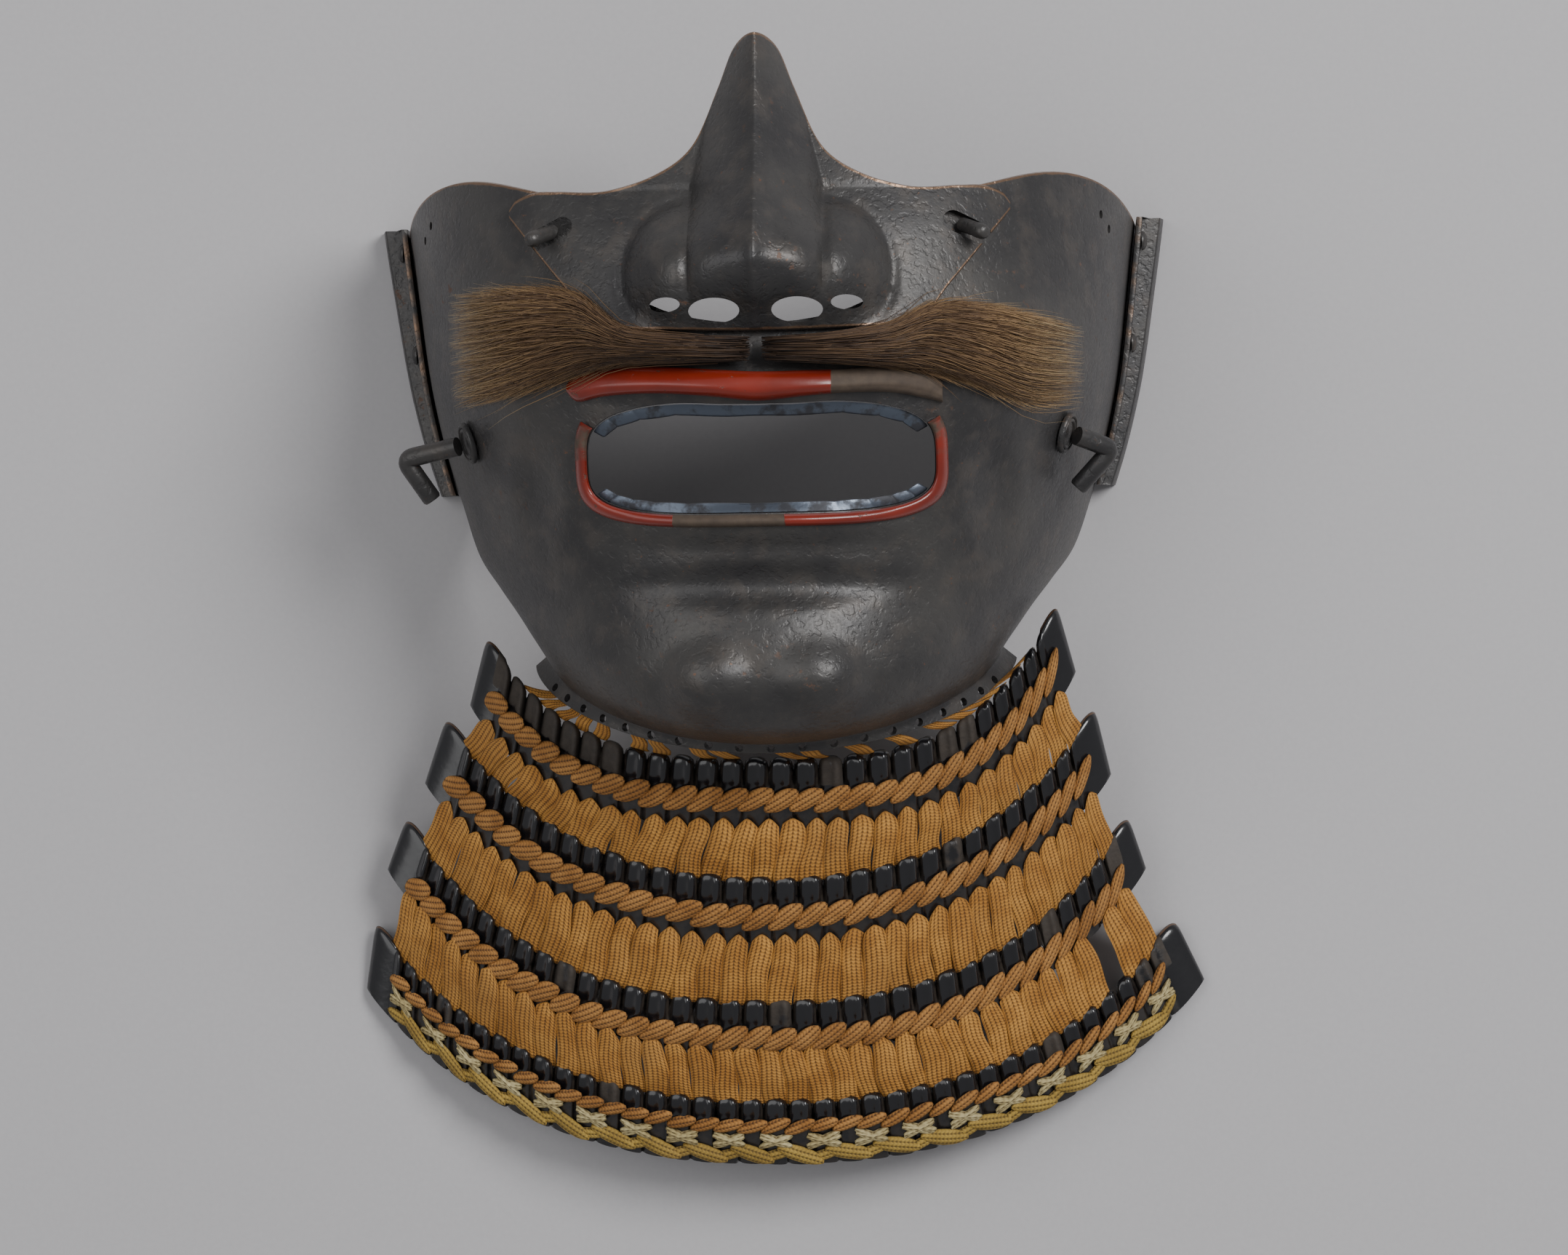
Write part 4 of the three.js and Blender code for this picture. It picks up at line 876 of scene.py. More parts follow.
# %% [markdown]
# ## Lips and teeth
# The upper lip is a strip with a rolled lower edge, lacquered red and worn to brown over its right
# end. A thinner red roll frames the rest of the mouth, and two strips of polished, silvered iron
# with notched edges stand for the teeth. All of them follow the squarish oval of the mouth.

# %% Red lacquer and silvered iron
def red_lacquer():
    finish = Finish("red_lacquer")
    place = finish.place
    cloud = place.noise(60, 4)
    bare = (finish.attribute("worn") * 1.4 + place.noise(220, 4, 0.6) - 0.9).step(0.1, 0.4)
    chips = place.noise(480, 4, 0.7).step(0.62, 0.68)
    lost = bare.math("MAXIMUM", bare, chips * 0.7)
    red = cloud.step(0.3, 0.7).blend(rgb(112, 30, 16), rgb(136, 38, 20))
    brown = place.noise(500, 4).blend(rgb(58, 48, 42), rgb(96, 82, 68))
    finish.set(
        base_color=lost.blend(red, brown),
        roughness=0.30 + lost * 0.4 + place.noise(900, 2) * 0.08,
        coat_weight=0.45 - lost * 0.45,
    )
    finish.set(coat_roughness=0.12)
    return finish.relief(lost * -0.8 + place.noise(700, 3) * 0.25, 0.00012, 0.8)


def silvered_iron():
    finish = Finish("silvered_iron")
    place = finish.place
    stain = place.noise(240, 4, 0.6)
    dull = stain.step(0.45, 0.62)
    finish.set(
        base_color=dull.blend(rgb(98, 106, 118), rgb(62, 63, 68)),
        metallic=0.8 - dull * 0.3,
        roughness=0.36 + dull * 0.2,
    )
    return finish.relief(place.noise(1300, 3), 0.00006, 0.6)


RED = red_lacquer()
SILVER = silvered_iron()

# %% Lips
UPPER_LIP = table(
    "x low high", (-39.2, 46, 47.6), (-36.8, 44, 50), (-31, 44.9, 50.8), (-20.6, 45.1, 50.5),
    (-9, 44.2, 49.6),
    (0, 43.2, 49), (9.3, 44, 49.1), (18.3, 44.6, 49.3), (27, 44.6, 50.2), (34, 43.4, 49.8), (37.2, 42.6, 47),
)
LIP_STEPS, LIP_SECTION = 150, 14
LIP_WORN_FROM = 15.0        # right of this the lacquer of the upper lip is gone
RING_FROM, RING_TO = math.radians(158), math.radians(382)
RING_WIDTH, RING_HEIGHT, RING_INNER = 2.5, 1.6, 0.2
RING_BARE = (-17.5, 4.0)    # the lower lip has lost its red between these places
LOWEST_ROW = 15


def bowed(share, low_side, peak, high_side):
    """Height over a strip from one side to the other: rises to the peak early, then falls away."""
    return np.interp(share, [0, 0.06, 0.3, 0.8, 1], [low_side, 0.75 * peak, peak, 0.6 * peak, high_side])


def upper_lip():
    t = np.linspace(0, len(UPPER_LIP["x"]) - 1, LIP_STEPS)[:, None]
    share = np.linspace(0, 1, LIP_SECTION)[None, :]
    x, low, high = (along(UPPER_LIP[name], t) for name in ("x", "low", "high"))
    y = low + (high - low) * share
    x = np.broadcast_to(x, y.shape)
    base = face_height(x, y)
    top = stack(x, y, base + GAP + 0.15 + bowed(share, 0.5, 2.5, 0.5))
    under = stack(x, y, base + GAP)
    return slab(top, under, 0.1)


def lip_ring():
    turn = np.linspace(RING_FROM, RING_TO, 2 * LIP_STEPS)[:, None]
    share = np.linspace(0, 1, LIP_SECTION)[None, :]
    x, y = mouth_edge(turn, RING_INNER + RING_WIDTH * share)
    base = face_height(x, np.maximum(y, LOWEST_ROW))
    roll = RING_HEIGHT * np.sqrt(np.maximum(0, 1 - (2 * share - 1) ** 2))
    ends = np.minimum(1, np.minimum(turn - RING_FROM, RING_TO - turn) / 0.05)
    top = stack(x, y, base + GAP + 0.1 + (0.25 + roll) * ends)
    return slab(top, stack(x, y, base + GAP + 0 * roll), 0.05)


lip = mesh_of("upper_lip_red", placed(upper_lip()))
mark(lip, "worn", ease(off_mask(points_of(lip))[:, 0], LIP_WORN_FROM - 0.5, LIP_WORN_FROM + 0.5))
piece(lip, RED, "red_lacquer", "upper_lip")
ring = mesh_of("lower_lip_red", placed(lip_ring()))
x, y, z = off_mask(points_of(ring)).T
ring_worn = ease(x, RING_BARE[0] - 1, RING_BARE[0]) * (1 - ease(x, RING_BARE[1], RING_BARE[1] + 1))
mark(ring, "worn", np.maximum(ring_worn, 0.45 * (y > MOUTH_MIDDLE)))
piece(ring, RED, "red_lacquer", "lower_lip")

# %% Teeth
TEETH = {"upper": (20, 160, 8, 2.2), "lower": (202, 338, 10, 1.9)}
TEETH_STEPS, TEETH_LIFT, TEETH_DEPTH = 200, -1.0, 1.6


def teeth(start, end, count, width):
    """Each tooth's edge is a flattened half wave, and its face swells a little in its middle."""
    share = np.linspace(0, 1, TEETH_STEPS)[:, None]
    notch = abs(np.sin(math.pi * share * count)) ** 0.4
    cross = np.linspace(0, 1, 8)[None, :]
    turn = np.radians(start + (end - start) * share)
    x, y = mouth_edge(turn, -GAP - width * (0.84 + 0.16 * notch) * cross)
    base = face_height(x, np.maximum(y, LOWEST_ROW))
    swell = 0.22 * (notch - 1) * np.ones_like(cross) - 0.5 * cross**2
    return slab(stack(x, y, base + TEETH_LIFT + swell), stack(x, y, base + TEETH_LIFT - TEETH_DEPTH), 0.15)


for word, (start, end, count, width) in TEETH.items():
    tooth_strip = mesh_of(f"teeth_{word}", placed(teeth(start, end, count, width)))
    piece(tooth_strip, SILVER, "silvered_iron", f"{word}_teeth")

# %% [markdown]
# ## The lames of the throat guard
# Each lame is a row of narrow leather and iron scales, laced side by side and lacquered together
# into one curved strip. Its upper edge shows the rounded heads of the scales, each with a raised
# ridge on its right, and its two ends are smooth plates. A place on a lame is given by the share
# of its length, the distance down its face and the height over its face.

# %% Places on a lame
LAMES = table(
    "scales x_mid y_mid reach_x reach_y fullness from_x to_x z_mid z_end height slope fan_left fan_right",
    (29, -4.4, -30.4, 72.4, 91.6, 3.08, -63.0, 57.8, 50.5, 31, 15.6, 24, 14, 16),
    (32, -3.6, -55.3, 82.8, 87.2, 2.22, -72.2, 66.4, 41.5, 21, 15.4, 23, 18, 14),
    (36, -3.7, -81.7, 93.1, 102.1, 2.37, -81.2, 74.0, 31.5, 12, 12.6, 22, 20, 19),
    (39, -2.1, -103.4, 101.9, 91.1, 2.26, -88.4, 84.6, 23.0, 4.3, 15.2, 21, 8, 26),
)
LAME_COUNT = len(LAMES["scales"])
ARCH_CROWN, END_SLOPE, LAME_THICK, EDGE_SAMPLES = 2.2, 0.42, 2.0, 161


def lame_edge(number):
    """The upper edge, an arch between its two ends, and the length walked along it."""
    lame = {name: column[number] for name, column in LAMES.items()}
    x = np.linspace(lame["from_x"], lame["to_x"], EDGE_SAMPLES)
    share = np.minimum(abs(x - lame["x_mid"]) / lame["reach_x"], 1)
    rise = 1 - (1 - share ** lame["fullness"]) ** (1 / ARCH_CROWN)
    middle = (lame["from_x"] + lame["to_x"]) / 2
    out = abs(x - middle) / (lame["to_x"] - middle)
    dropped = (lame["z_mid"] - lame["z_end"]) * out**2
    points = stack(x, lame["y_mid"] + lame["reach_y"] * rise, lame["z_mid"] - dropped)
    steps = np.linalg.norm(np.diff(points, axis=0), axis=1)
    return points, np.concatenate([[0], np.cumsum(steps)])


EDGES = [lame_edge(number) for number in range(LAME_COUNT)]
LENGTHS = [edge[1][-1] for edge in EDGES]


def lame_point(number, share, down, lift):
    """From the edge, down mm along the leaning face and lift mm square to it."""
    points, walked = EDGES[number]
    share, down, lift = np.broadcast_arrays(share, down, lift)
    at = np.clip(share, 0, 1) * walked[-1]
    edge = np.stack([np.interp(at, walked, points[:, k]) for k in range(3)], -1)
    side = 2 * share - 1
    slope = np.radians(LAMES["slope"][number]) * (1 - (1 - END_SLOPE) * side**2)
    fan = np.radians(np.where(side < 0, LAMES["fan_left"][number], LAMES["fan_right"][number])) * side
    across = stack(np.sin(fan) * np.cos(slope), -np.cos(fan) * np.cos(slope), -np.sin(slope))
    normal = stack(np.sin(fan) * np.sin(slope), -np.cos(fan) * np.sin(slope), np.cos(slope))
    return edge + across * down[..., None] + normal * lift[..., None] + SHIFT


print("lame lengths in mm:", [round(float(length), 1) for length in LENGTHS])

# %% [markdown]
# ## Black lacquer
# Urushi lacquer is deep black with a soft wet gloss. Dust settles in its hollows, it is chipped to
# brown along thin edges, and where it has flaked off the scales look dull and earthy.


# %% Black lacquer
def black_lacquer():
    finish = Finish("black_lacquer")
    place = finish.place
    lost = (finish.attribute("lost") * 1.2 + place.noise(260, 4, 0.65) * 0.9 - 0.8).step(0.05, 0.3)
    worn = (finish.attribute("worn") * 1.2 + place.noise(420, 3) * 0.8 - 0.9).step(0.1, 0.4)
    dust = finish.attribute("hollow").step(0.2, 1.0) * place.noise(350, 4, 0.6).step(0.3, 0.6)
    black = place.noise(90, 3).blend(rgb(14, 14, 17), rgb(25, 24, 27))
    dusty = (dust * 0.75).blend(black, rgb(62, 52, 42))
    chipped = worn.blend(dusty, rgb(96, 68, 46))
    earth = place.noise(600, 4, 0.6).blend(rgb(38, 33, 30), rgb(74, 66, 58))
    finish.set(
        base_color=lost.blend(chipped, earth),
        roughness=0.20 + dust * 0.5 + lost * 0.5 + worn * 0.3 + place.noise(700, 3) * 0.08,
        coat_weight=0.6 - lost * 0.6,
    )
    finish.set(coat_roughness=0.14)
    bumps = place.noise(260, 3) * 0.5 + place.noise(1100, 3) * (0.12 + lost * 0.5)
    return finish.relief(bumps - lost * 0.4, 0.0003, 0.6)


LACQUER = black_lacquer()

# %% [markdown]
# Every scale head is worked out from its phase, which runs from 0 to 1 over each scale. The top
# edge falls as a rounded tongue towards both sides of the scale, the sides drop into a groove, and
# a ridge stands at three quarters. Down the face all of this fades to a low saw-tooth, where each
# scale laps over the next.

# %% Lame plates
SCALE_COLUMNS, LAME_ROWS = 16, 30
HEAD_NOTCH, HEAD_ZONE = 2.6, (5.0, 7.5)
GROOVE_FROM, GROOVE_TO, GROOVE_DEPTH = 0.70, 0.96, 1.5
RIDGE_AT, RIDGE_WIDE, RIDGE_UP, LAP_UP = 0.70, 0.17, 0.75, 0.5
END_PLATE = 1.5             # the smooth plate at each end, in scales
END_ROUND = 1.2             # its corner is rounded over this many scales
LOST_RANGES = {0: ((0.03, 0.27, 0.9), (0.73, 0.80, 0.9)), 3: ((0.93, 0.97, 0.6),)}
LOST_HEADS = 0.12           # share of the other heads that have lost lacquer too
rng = np.random.default_rng(7)


def lame_plate(number):
    scales, height = int(LAMES["scales"][number]), LAMES["height"][number]
    columns = scales * SCALE_COLUMNS + 1
    share = np.linspace(0, 1, columns)[None, :]
    scale = share * scales
    phase = scale % 1
    from_middle = abs(2 * phase - 1)
    from_end = np.minimum(scale, scales - scale)
    heads = ease(from_end, END_PLATE - 0.08, END_PLATE + 0.08)
    tongue = HEAD_NOTCH * (1 - np.sqrt(np.maximum(0, 1 - from_middle**2.6)))
    corner = 3.2 * (1 - np.sqrt(np.maximum(0, 1 - (1 - np.minimum(from_end / END_ROUND, 1)) ** 2.4)))
    top = heads * tongue + (1 - heads) * (corner - 0.5)
    v = (np.linspace(0, 1, LAME_ROWS)[:, None]) ** 1.15
    scallop = 0.25 * from_middle**2 * heads
    down = top + (height - scallop - top) * v
    near_top = 1 - ease(down, *HEAD_ZONE)
    groove = GROOVE_DEPTH * ease(from_middle, GROOVE_FROM, GROOVE_TO) * (0.25 + 0.75 * near_top)
    ridge = RIDGE_UP * np.exp(-(((phase - RIDGE_AT) / RIDGE_WIDE) ** 2)) * near_top
    lap = LAP_UP * (phase - 0.5)
    jitter = np.repeat(rng.uniform(-0.15, 0.2, scales + 1), SCALE_COLUMNS)[:columns][None, :]
    roll = 0.9 * np.exp(-(down - top) / 0.55)
    lift = heads * (ridge + lap - groove + jitter) - roll - 0.5 * (1 - heads) * np.exp(-from_end / 0.12)
    swell = 0.35 * (1 - heads) * np.sin(math.pi * np.clip(from_end / END_PLATE, 0, 1))
    front = lame_point(number, share, down, lift + swell)
    back = lame_point(number, share, down, -LAME_THICK)
    body = slab(front, back, 0.2)
    rim = len(body[0]) - 2 * front.shape[0] * columns

    def everywhere(values):
        flat = np.broadcast_to(values, front.shape[:2]).ravel()
        return np.concatenate([flat, np.zeros(len(flat)), np.full(rim, 0.6)])

    lost_head = (rng.random(scales + 1) < LOST_HEADS) * rng.uniform(0.5, 1.0, scales + 1)
    for low, high, amount in LOST_RANGES.get(number, ()):
        at = (np.arange(scales + 1) + 0.5) / scales
        lost_head = np.where((at > low) & (at < high), amount, lost_head)
    lost = np.repeat(lost_head, SCALE_COLUMNS)[:columns][None, :] * near_top * (0.6 + 0.4 * from_middle)
    worn = np.exp(-(down - top) / 0.35) * (0.25 + 0.55 * (1 - heads))
    hollow = heads * (ease(from_middle, 0.55, 0.9) * near_top + (1 - near_top) * 0.55)
    numbers = {"lost": everywhere(lost), "worn": everywhere(worn), "hollow": everywhere(hollow)}
    return mesh_of(f"lame_plate_{number + 1}", body, None, 60, **numbers)


for number in range(LAME_COUNT):
    piece(lame_plate(number), LACQUER, "black_lacquer", f"lame_{number + 1}")

# %% [markdown]
# ## Silk lace
# The lace is a flat silk braid. Close to, it shows narrow ribs that run along it, and in each rib
# the threads cross in small slanting stitches. The pattern reads the piece's own map, which holds
# millimetres across and along the braid, so that it follows every bend.

# Its colour is painted light: shade in the grooves between the ribs, a highlight on their crowns.

# %% Silk lace
def silk(name, light, middle, dark, ribs=1.05, stitch=0.8):
    """Ribs and stitches in millimetres on the map; painted shade in the grooves, painted highlight on the
    crowns.
    """
    finish = Finish(name)
    place = finish.place
    x, y = (finish.cloth.node("SeparateXYZ", (), {0: finish.cloth}, k) for k in (0, 1))
    side = abs((x / ribs).math("FRACT", x / ribs) - 0.5) * 2
    slant = (y / stitch + side * 0.45).math("FRACT", y / stitch + side * 0.45)
    thread = 1 - abs(slant - 0.5) * 2
    crown = 1 - side * side
    # noise patches that decide where the painted highlight shows on the rib crowns
    highlight_patches = place.noise(140, 4, 0.6)
    fuzz = place.noise(2600, 3, 0.7)
    # painted shade: the low grooves between ribs and threads take the dark colour; painted highlight: the
    # high crowns take the light colour
    shade = (crown * 0.55 + thread * 0.35 + fuzz * 0.25).step(0.15, 1.0)
    tone = shade.blend(dark, middle)
    lit = (shade * highlight_patches.step(0.3, 0.75)).blend(tone, light)
    grimy = place.noise(70, 3).step(0.52, 0.8) * 0.35
    finish.set(
        base_color=grimy.blend(lit, rgb(92, 62, 34)),
        roughness=0.72 + fuzz * 0.2,
    )
    finish.set(sheen_weight=0.35, sheen_roughness=0.4, sheen_tint=light)
    return finish.relief(crown * 0.6 + thread * 0.4 + fuzz * 0.35, 0.00028, 0.9)


# colours: painted highlight on the rib crowns, the silk's middle tone, painted shade in the grooves
GOLD_SILK = silk("orange_lace", rgb(214, 156, 76), rgb(176, 118, 46), rgb(82, 50, 18))
ROPE_SILK = silk("rope_lace", rgb(196, 142, 78), rgb(156, 104, 46), rgb(72, 44, 18))

# %% [markdown]
# Along each lame runs a rope of crossing laces. Seen from the front it is a row of leaf-shaped pads,
# one for each scale, that lean to the right and lap over each other. One leaf is a small grid: its
# width follows (1 - a^2.6)^0.6 along its length, and it is domed across. All the leaves of a lame are
# worked out together, with a little random size and lean.

# %% Leaves of lace
LEAF_LONG, LEAF_WIDE = 15, 9


def leaves(number, shares, down, half_long, half_wide, thick, lean, seed, tip=0.2, lap=0.4):
    """Leaf pads centred at the shares; lean is the angle that their right ends rise, in degrees."""
    chance = np.random.default_rng(seed)
    count = len(shares)
    a, b = np.meshgrid(np.linspace(-1, 1, LEAF_LONG), np.linspace(-1, 1, LEAF_WIDE), indexing="ij")
    width = np.maximum((1 - abs(a) ** 2.6) ** 0.6, tip)
    vary = chance.uniform(0.94, 1.06, (count, 1, 1))
    bend = chance.uniform(-0.12, 0.12, (count, 1, 1))
    x = half_long * vary * a
    y = half_wide * (width * b + bend * (1 - a * a))
    angle = np.radians(lean + chance.uniform(-4, 4, (count, 1, 1)))
    here = np.asarray(shares)[:, None, None] + (x * np.cos(angle) + y * np.sin(angle)) / LENGTHS[number]
    level = down + chance.uniform(-0.15, 0.15, (count, 1, 1)) - x * np.sin(angle) + y * np.cos(angle)
    dome = thick * np.sqrt(np.maximum(0, 1 - 0.97 * b * b)) * (1 - 0.3 * a * a)
    base = 0.25 + lap * (a + 0.6) + chance.uniform(0, 0.15, (count, 1, 1))
    front = lame_point(number, here, level, base + dome)
    back = lame_point(number, here, level, base + 0 * dome - 0.1)
    body = joined([slab(front[k], back[k]) for k in range(count)])
    uv_one = np.stack([half_wide * (width * b), half_long * a], -1).reshape(-1, 2)
    ring = len(body[0]) // count - 2 * len(uv_one)
    uv = np.tile(np.concatenate([uv_one, uv_one, np.zeros((ring, 2))]), (count, 1))
    return body, uv


ROPE_FROM, ROPE_TO = 0.05, 0.95
# for each lame: how far down the rope lies, and half length, half width, thickness and lean of a leaf
ROPES = (
    (8.8, 4.35, 2.0, 1.35, 37),
    (8.8, 4.35, 2.0, 1.35, 37),
    (8.6, 4.25, 1.95, 1.3, 37),
    (5.9, 3.4, 1.35, 1.2, 24),
)
for number, (down, half_long, half_wide, thick, lean) in enumerate(ROPES):
    count = int(LAMES["scales"][number]) - 2
    at = np.linspace(ROPE_FROM, ROPE_TO, count)
    body, uv = leaves(number, at, down, half_long, half_wide, thick, lean, 20 + number)
    piece(mesh_of(f"rope_{number + 1}", body, uv, 80), ROPE_SILK, "orange_lace", f"rope_lacing_{number + 1}")

# %% [markdown]
# The lowest lame ends in two ornamental rows: pale green and white cross knots, and below them
# longer leaves of yellow-green lace that lean the other way. They are the same kind of pad, so the
# same function makes them, with another lean and other silk.

# %% Knots and green leaves
# colours: painted highlight on the rib crowns, the silk's middle tone, painted shade in the grooves
PALE_SILK = silk("pale_lace", rgb(208, 196, 150), rgb(176, 158, 108), rgb(92, 74, 42), 0.8, 1.3)
GREEN_SILK = silk("green_lace", rgb(190, 158, 76), rgb(152, 122, 52), rgb(78, 60, 24))
KNOT_COUNT, KNOT_FROM, KNOT_TO = 19, 0.055, 0.945
KNOT_DOWN, LEAF_DOWN = 9.5, 12.6

knot_at = np.linspace(KNOT_FROM, KNOT_TO, KNOT_COUNT)
half_step = (knot_at[1] - knot_at[0]) / 2
crossed = []
for lean, seed in ((26, 41), (-26, 42)):
    crossed.append(leaves(3, knot_at, KNOT_DOWN, 3.7, 0.95, 0.95, lean, seed, 0.3, 0.1))
for lean, seed in ((17, 43), (-17, 44)):
    crossed.append(leaves(3, knot_at, KNOT_DOWN, 3.5, 0.8, 1.25, lean, seed, 0.3, 0.1))
knots = joined([body for body, _ in crossed]), np.concatenate([uv for _, uv in crossed])
piece(mesh_of("knots", *knots, 80), PALE_SILK, "pale_lace", "knot_row")
long_leaves = leaves(3, knot_at[:-1] + half_step, LEAF_DOWN, 4.9, 1.75, 1.3, -16, 45, 0.2, 0.25)
short_leaves = leaves(3, knot_at, LEAF_DOWN + 0.3, 3.6, 1.2, 0.9, 18, 46, 0.2, 0.0)
green = joined([long_leaves[0], short_leaves[0]]), np.concatenate([long_leaves[1], short_leaves[1]])
piece(mesh_of("green_leaves", *green, 80), GREEN_SILK, "green_lace", "leaf_row")

# %% [markdown]
# Between two lames hang the long laces, one for each scale. Each comes out over the lower edge of
# one lame with a pointed top, and goes in behind the heads of the next. A lace is a ribbon whose
# middle line runs straight between the two lames with a little sway; it is thicker in its middle,
# and every other one lies a little higher, so that they lap.

# %% Hanging laces
LACE_LONG, LACE_WIDE = 15, 9
LACE_COUNTS = (30, 34, 37)
LACE_INSET, LACE_SPAN = 0.032, 0.936
LACE_HALF, LACE_CROWN, LACE_BACK = 2.75, 0.85, 0.35
TOP_OVER, TOP_POINT, TOP_LIFT = 2.4, 1.7, 0.35
BOTTOM_UNDER, BOTTOM_LIFT = 1.6, -1.9
MISSING = {2: (34,)}         # a lace that is lost, near the right end of the lowest gap


def ribbons(start, end, count, half, seed, top_point=TOP_POINT, sway=0.45, missing=()):
    """Ribbons between two edges. start and end give a place for an offset across a ribbon in mm,
    one down it and a lift; all three are arrays with a row for each ribbon."""
    chance = np.random.default_rng(seed)
    u, v = np.meshgrid(np.linspace(-1, 1, LACE_WIDE), np.linspace(0, 1, LACE_LONG), indexing="xy")
    kept = np.array([k for k in range(count) if k not in missing])
    index = kept[:, None, None]

    def some(low, high):
        return chance.uniform(low, high, (count, 1, 1))[kept]

    width = half * (1 - 0.22 * np.exp(-v / 0.10)) * some(0.93, 1.04) * (1 + 0.05 * np.sin(5 * v + some(0, 6)))
    wave = sway * np.sin(math.pi * (v * some(0.7, 1.8) + some(0, 2))) * np.sin(math.pi * v) ** 0.5
    lean = some(-0.5, 0.5)
    offset = width * u + wave + lean * (v - 0.5)
    level = 0.28 * (index % 2) + some(0, 0.2) + 0.22 * np.sin(math.pi * (v * some(1, 2.4) + some(0, 2)))
    crown = LACE_CROWN * np.sqrt(np.maximum(0, 1 - 0.96 * u * u))
    point = top_point * (abs(u) ** 1.4) * some(0.7, 1.2)
    first = start(index, offset, point, 0 * offset)
    last = end(index, offset, 0 * offset, 0 * offset)
    line = first + (last - first) * v[..., None]
    sag = np.sin(math.pi * v) * 0.7
    up = np.array([0, -0.25, 0.97])
    front = line + (level + crown * (1 - 0.5 * np.exp(-v / 0.06)) + sag)[..., None] * up
    back = line + (level - LACE_BACK + sag)[..., None] * up
    body = joined([slab(front[k], back[k]) for k in range(len(kept))])
    long = np.linalg.norm(last[..., LACE_WIDE // 2, :] - first[..., LACE_WIDE // 2, :], axis=-1).mean()
    uv_one = np.stack([half * u, long * v], -1).reshape(-1, 2)
    ring = len(body[0]) // len(kept) - 2 * len(uv_one)
    return body, np.tile(np.concatenate([uv_one, uv_one, np.zeros((ring, 2))]), (len(kept), 1))


def hanging(gap):
    count, height = LACE_COUNTS[gap], LAMES["height"][gap]

    def middle(index):
        return LACE_INSET + LACE_SPAN * (index + 0.5) / count

    def start(index, offset, down, lift):
        share = middle(index) + offset / LENGTHS[gap]
        return lame_point(gap, share, height - TOP_OVER + down, lift + TOP_LIFT)

    def end(index, offset, down, lift):
        share = middle(index) + offset / LENGTHS[gap + 1]
        return lame_point(gap + 1, share, down + BOTTOM_UNDER, lift + BOTTOM_LIFT)

    half = LACE_HALF * (LENGTHS[gap] / count) / 5.1
    return ribbons(start, end, count, half, 60 + gap, missing=MISSING.get(gap, ()))


for gap in range(LAME_COUNT - 1):
    body, uv = hanging(gap)
    piece(mesh_of(f"laces_{gap + 1}", body, uv, 80), GOLD_SILK, "orange_lace", f"hanging_lacing_{gap + 1}")

# %% Chin laces
CHIN_COUNT, CHIN_SPREAD, CHIN_FROM, CHIN_TO = 26, math.radians(136), 0.09, 0.93
CHIN_LOST = (5, 8, 11, 12, 15, 17, 19)
THREADED_ROW = FACE_END - 0.2


def chin_start(index, offset, down, lift):
    turn = CHIN_SPREAD * ((index + 0.5) / CHIN_COUNT - 0.5) + offset / 50
    point = on_mask(face_point(np.full(turn.shape, THREADED_ROW), turn))
    return point + np.array([0, 0, -2.2])


def chin_end(index, offset, down, lift):
    share = CHIN_FROM + (CHIN_TO - CHIN_FROM) * (index + 0.5) / CHIN_COUNT + offset / LENGTHS[0]
    return lame_point(0, share, 0.6 + down, -2.6 + lift)


body, uv = ribbons(chin_start, chin_end, CHIN_COUNT, 1.9, 80, 0.2, 0.5, CHIN_LOST)
piece(mesh_of("chin_laces", body, uv, 80), GOLD_SILK, "orange_lace", "chin_lacing")

# %% [markdown]
# ## Moustache
# The moustache is stiff animal hair set in two tufts, dark at the roots, brown along the shaft and
# pale at the tips. A particle system would not export, so each hair is a thin three-sided spike
# that tapers along a gently waving line. Thousands are worked out at once: a hair starts near the
# middle, keeps its own level in the tuft, and fans out with it towards the cheek.

# %% Hair
HAIRS, HAIR_RINGS = 4300, 7
TUFTS = {
    "left": table(
        "x low high thick", (1, 50.8, 56.4, 4.2), (14, 50.9, 56.8, 7.5), (27, 51, 58.6, 8.5),
        (36, 49.6, 65.4, 8), (46, 47.2, 67.2, 7), (56, 45.6, 67, 6), (65.5, 45.4, 66.4, 4.2),
    ),
    "right": table(
        "x low high thick", (1, 50.8, 56.4, 4.2), (14, 50.2, 56.8, 7.5), (27, 49.6, 58.6, 8.5),
        (36, 48.6, 62.6, 8), (46, 45.6, 62.2, 7), (56, 42.6, 60.4, 6), (66, 44.4, 58.6, 4.2),
    ),
}
HAIR_FLOOR, HAIR_RADIUS = 2.9, 0.115


def hair_finish():
    finish = Finish("hair")
    along_hair, own = (finish.cloth.node("SeparateXYZ", (), {0: finish.cloth}, k) for k in (1, 0))
    stops = [
        (0.0, rgb(26, 19, 16)), (0.2, rgb(54, 39, 29)), (0.5, rgb(100, 76, 53)),
        (0.78, rgb(156, 126, 88)), (1.0, rgb(214, 192, 150)),
    ]
    place = along_hair * 0.75 + own * 0.35 - 0.08
    shaft = finish.place.node("ValToRGB", {"stops": stops}, {0: place})
    finish.set(base_color=shaft, roughness=0.42 + own * 0.2, specular_ior_level=0.4)
    return finish


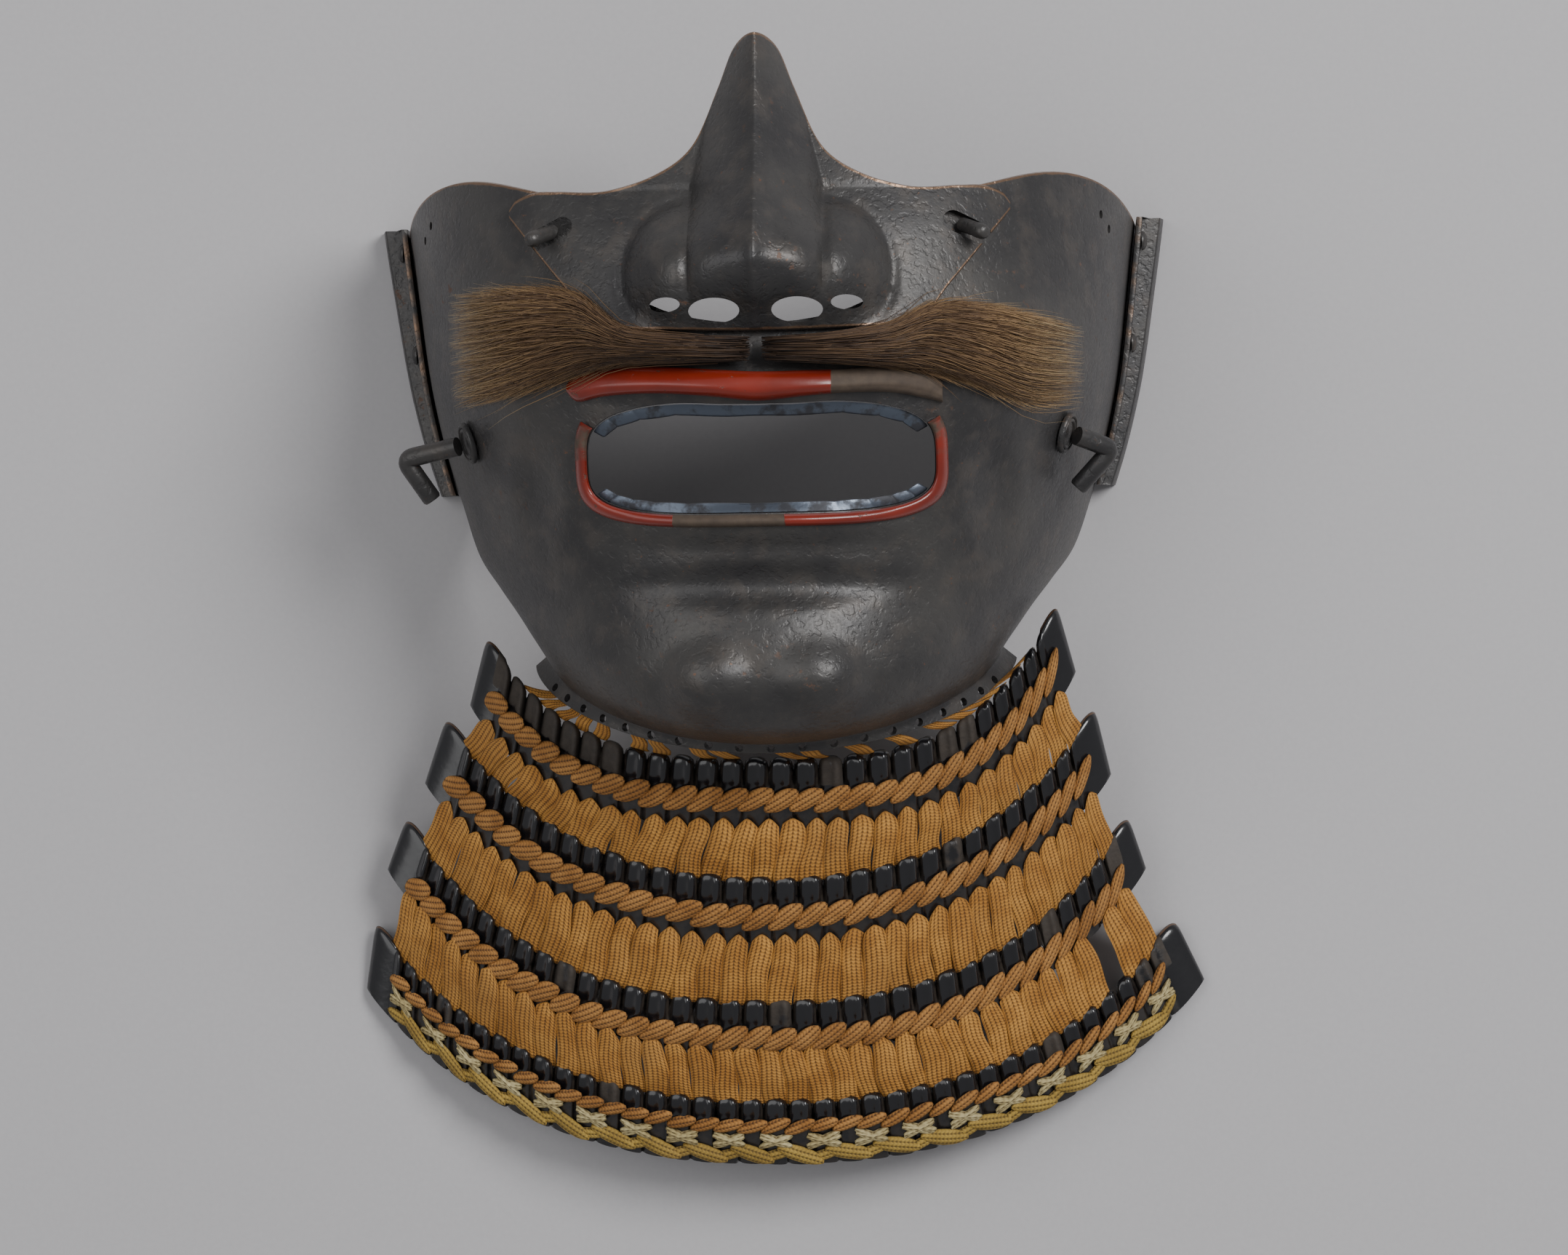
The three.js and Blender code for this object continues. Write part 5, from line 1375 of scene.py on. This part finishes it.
def tuft(word, side, count=HAIRS, seed=5, stray=False):
    chance = np.random.default_rng(seed + side)
    shape = TUFTS[word]
    last = len(shape["x"]) - 1

    def some(low, high):
        return chance.uniform(low, high, (count, 1))

    s = np.linspace(0, 1, HAIR_RINGS)[None, :]
    root = some(0, 1) ** 0.8 * 0.62
    long = some(0.26, 0.46)
    t = last * np.minimum(root + long * s, some(0.93, 1.05))
    level = chance.uniform(-1, 1, (count, 1))
    level = level * (0.86 + 0.2 * s) + some(-0.16, 0.16) * s**1.5
    level = level + some(-0.1, 0.1) * np.sin(4 * s + some(0, 6))
    depth = some(0, 1) ** 0.7
    x = side * along(shape["x"], t)
    low, high, thick = (along(shape[name], t) for name in ("low", "high", "thick"))
    if stray:
        level = level * 1.25 + some(-0.6, 0.5) * s**2
        depth = 0.8 + 0 * depth
    y = low + (high - low) * (0.5 + 0.5 * np.clip(level, -1.6, 1.4))
    dome = np.sqrt(np.maximum(0, 1 - np.minimum(abs(level), 1) ** 2))
    lift = depth * thick * dome * (0.75 + 0.25 * np.sin(math.pi * s)) * (1 - 0.25 * s)
    z = face_height(x, y) + HAIR_FLOOR + 0.2 + lift
    line = stack(x, y, z)
    way = unit(np.gradient(line, axis=1))
    flat = unit(np.cross(way, [0, 0, 1.0]))
    up = np.cross(flat, way)
    size = HAIR_RADIUS * some(0.75, 1.2) * np.maximum(1 - s**1.8, 0.12)
    turn = np.arange(3) * 2 * math.pi / 3 + 0.5
    circle = flat[:, :, None] * np.cos(turn)[:, None] + up[:, :, None] * np.sin(turn)[:, None]
    rings = line[:, :, None] + size[:, :, None, None] * circle
    one = grid_faces(HAIR_RINGS, 3, wrap=True)
    stride = 3 * HAIR_RINGS
    faces = (one[None] + stride * np.arange(count)[:, None, None]).reshape(-1, 4)
    caps = [np.array([[0, 1, 2]]), np.array([[stride - 1, stride - 2, stride - 3]])]
    ends = [(cap[None] + stride * np.arange(count)[:, None, None]).reshape(-1, 3) for cap in caps]
    own = np.repeat(chance.random(count), stride)
    tip = np.tile(np.repeat(s[0], 3), count)
    reach = (t / last)[:, :, None].repeat(3, 2).reshape(-1)
    return (on_mask(rings.reshape(-1, 3)), [faces, *ends]), np.stack([own, 0.45 * tip + 0.55 * reach], 1)


HAIR = hair_finish()
for word, side in SIDES:
    hairs, uv = tuft(word, side)
    strays, stray_uv = tuft(word, side, 60, 9, True)
    whole = joined([hairs, strays]), np.concatenate([uv, stray_uv])
    piece(mesh_of(f"moustache_hair_{word}", *whole, 180), HAIR, "hair", f"moustache_{word}")
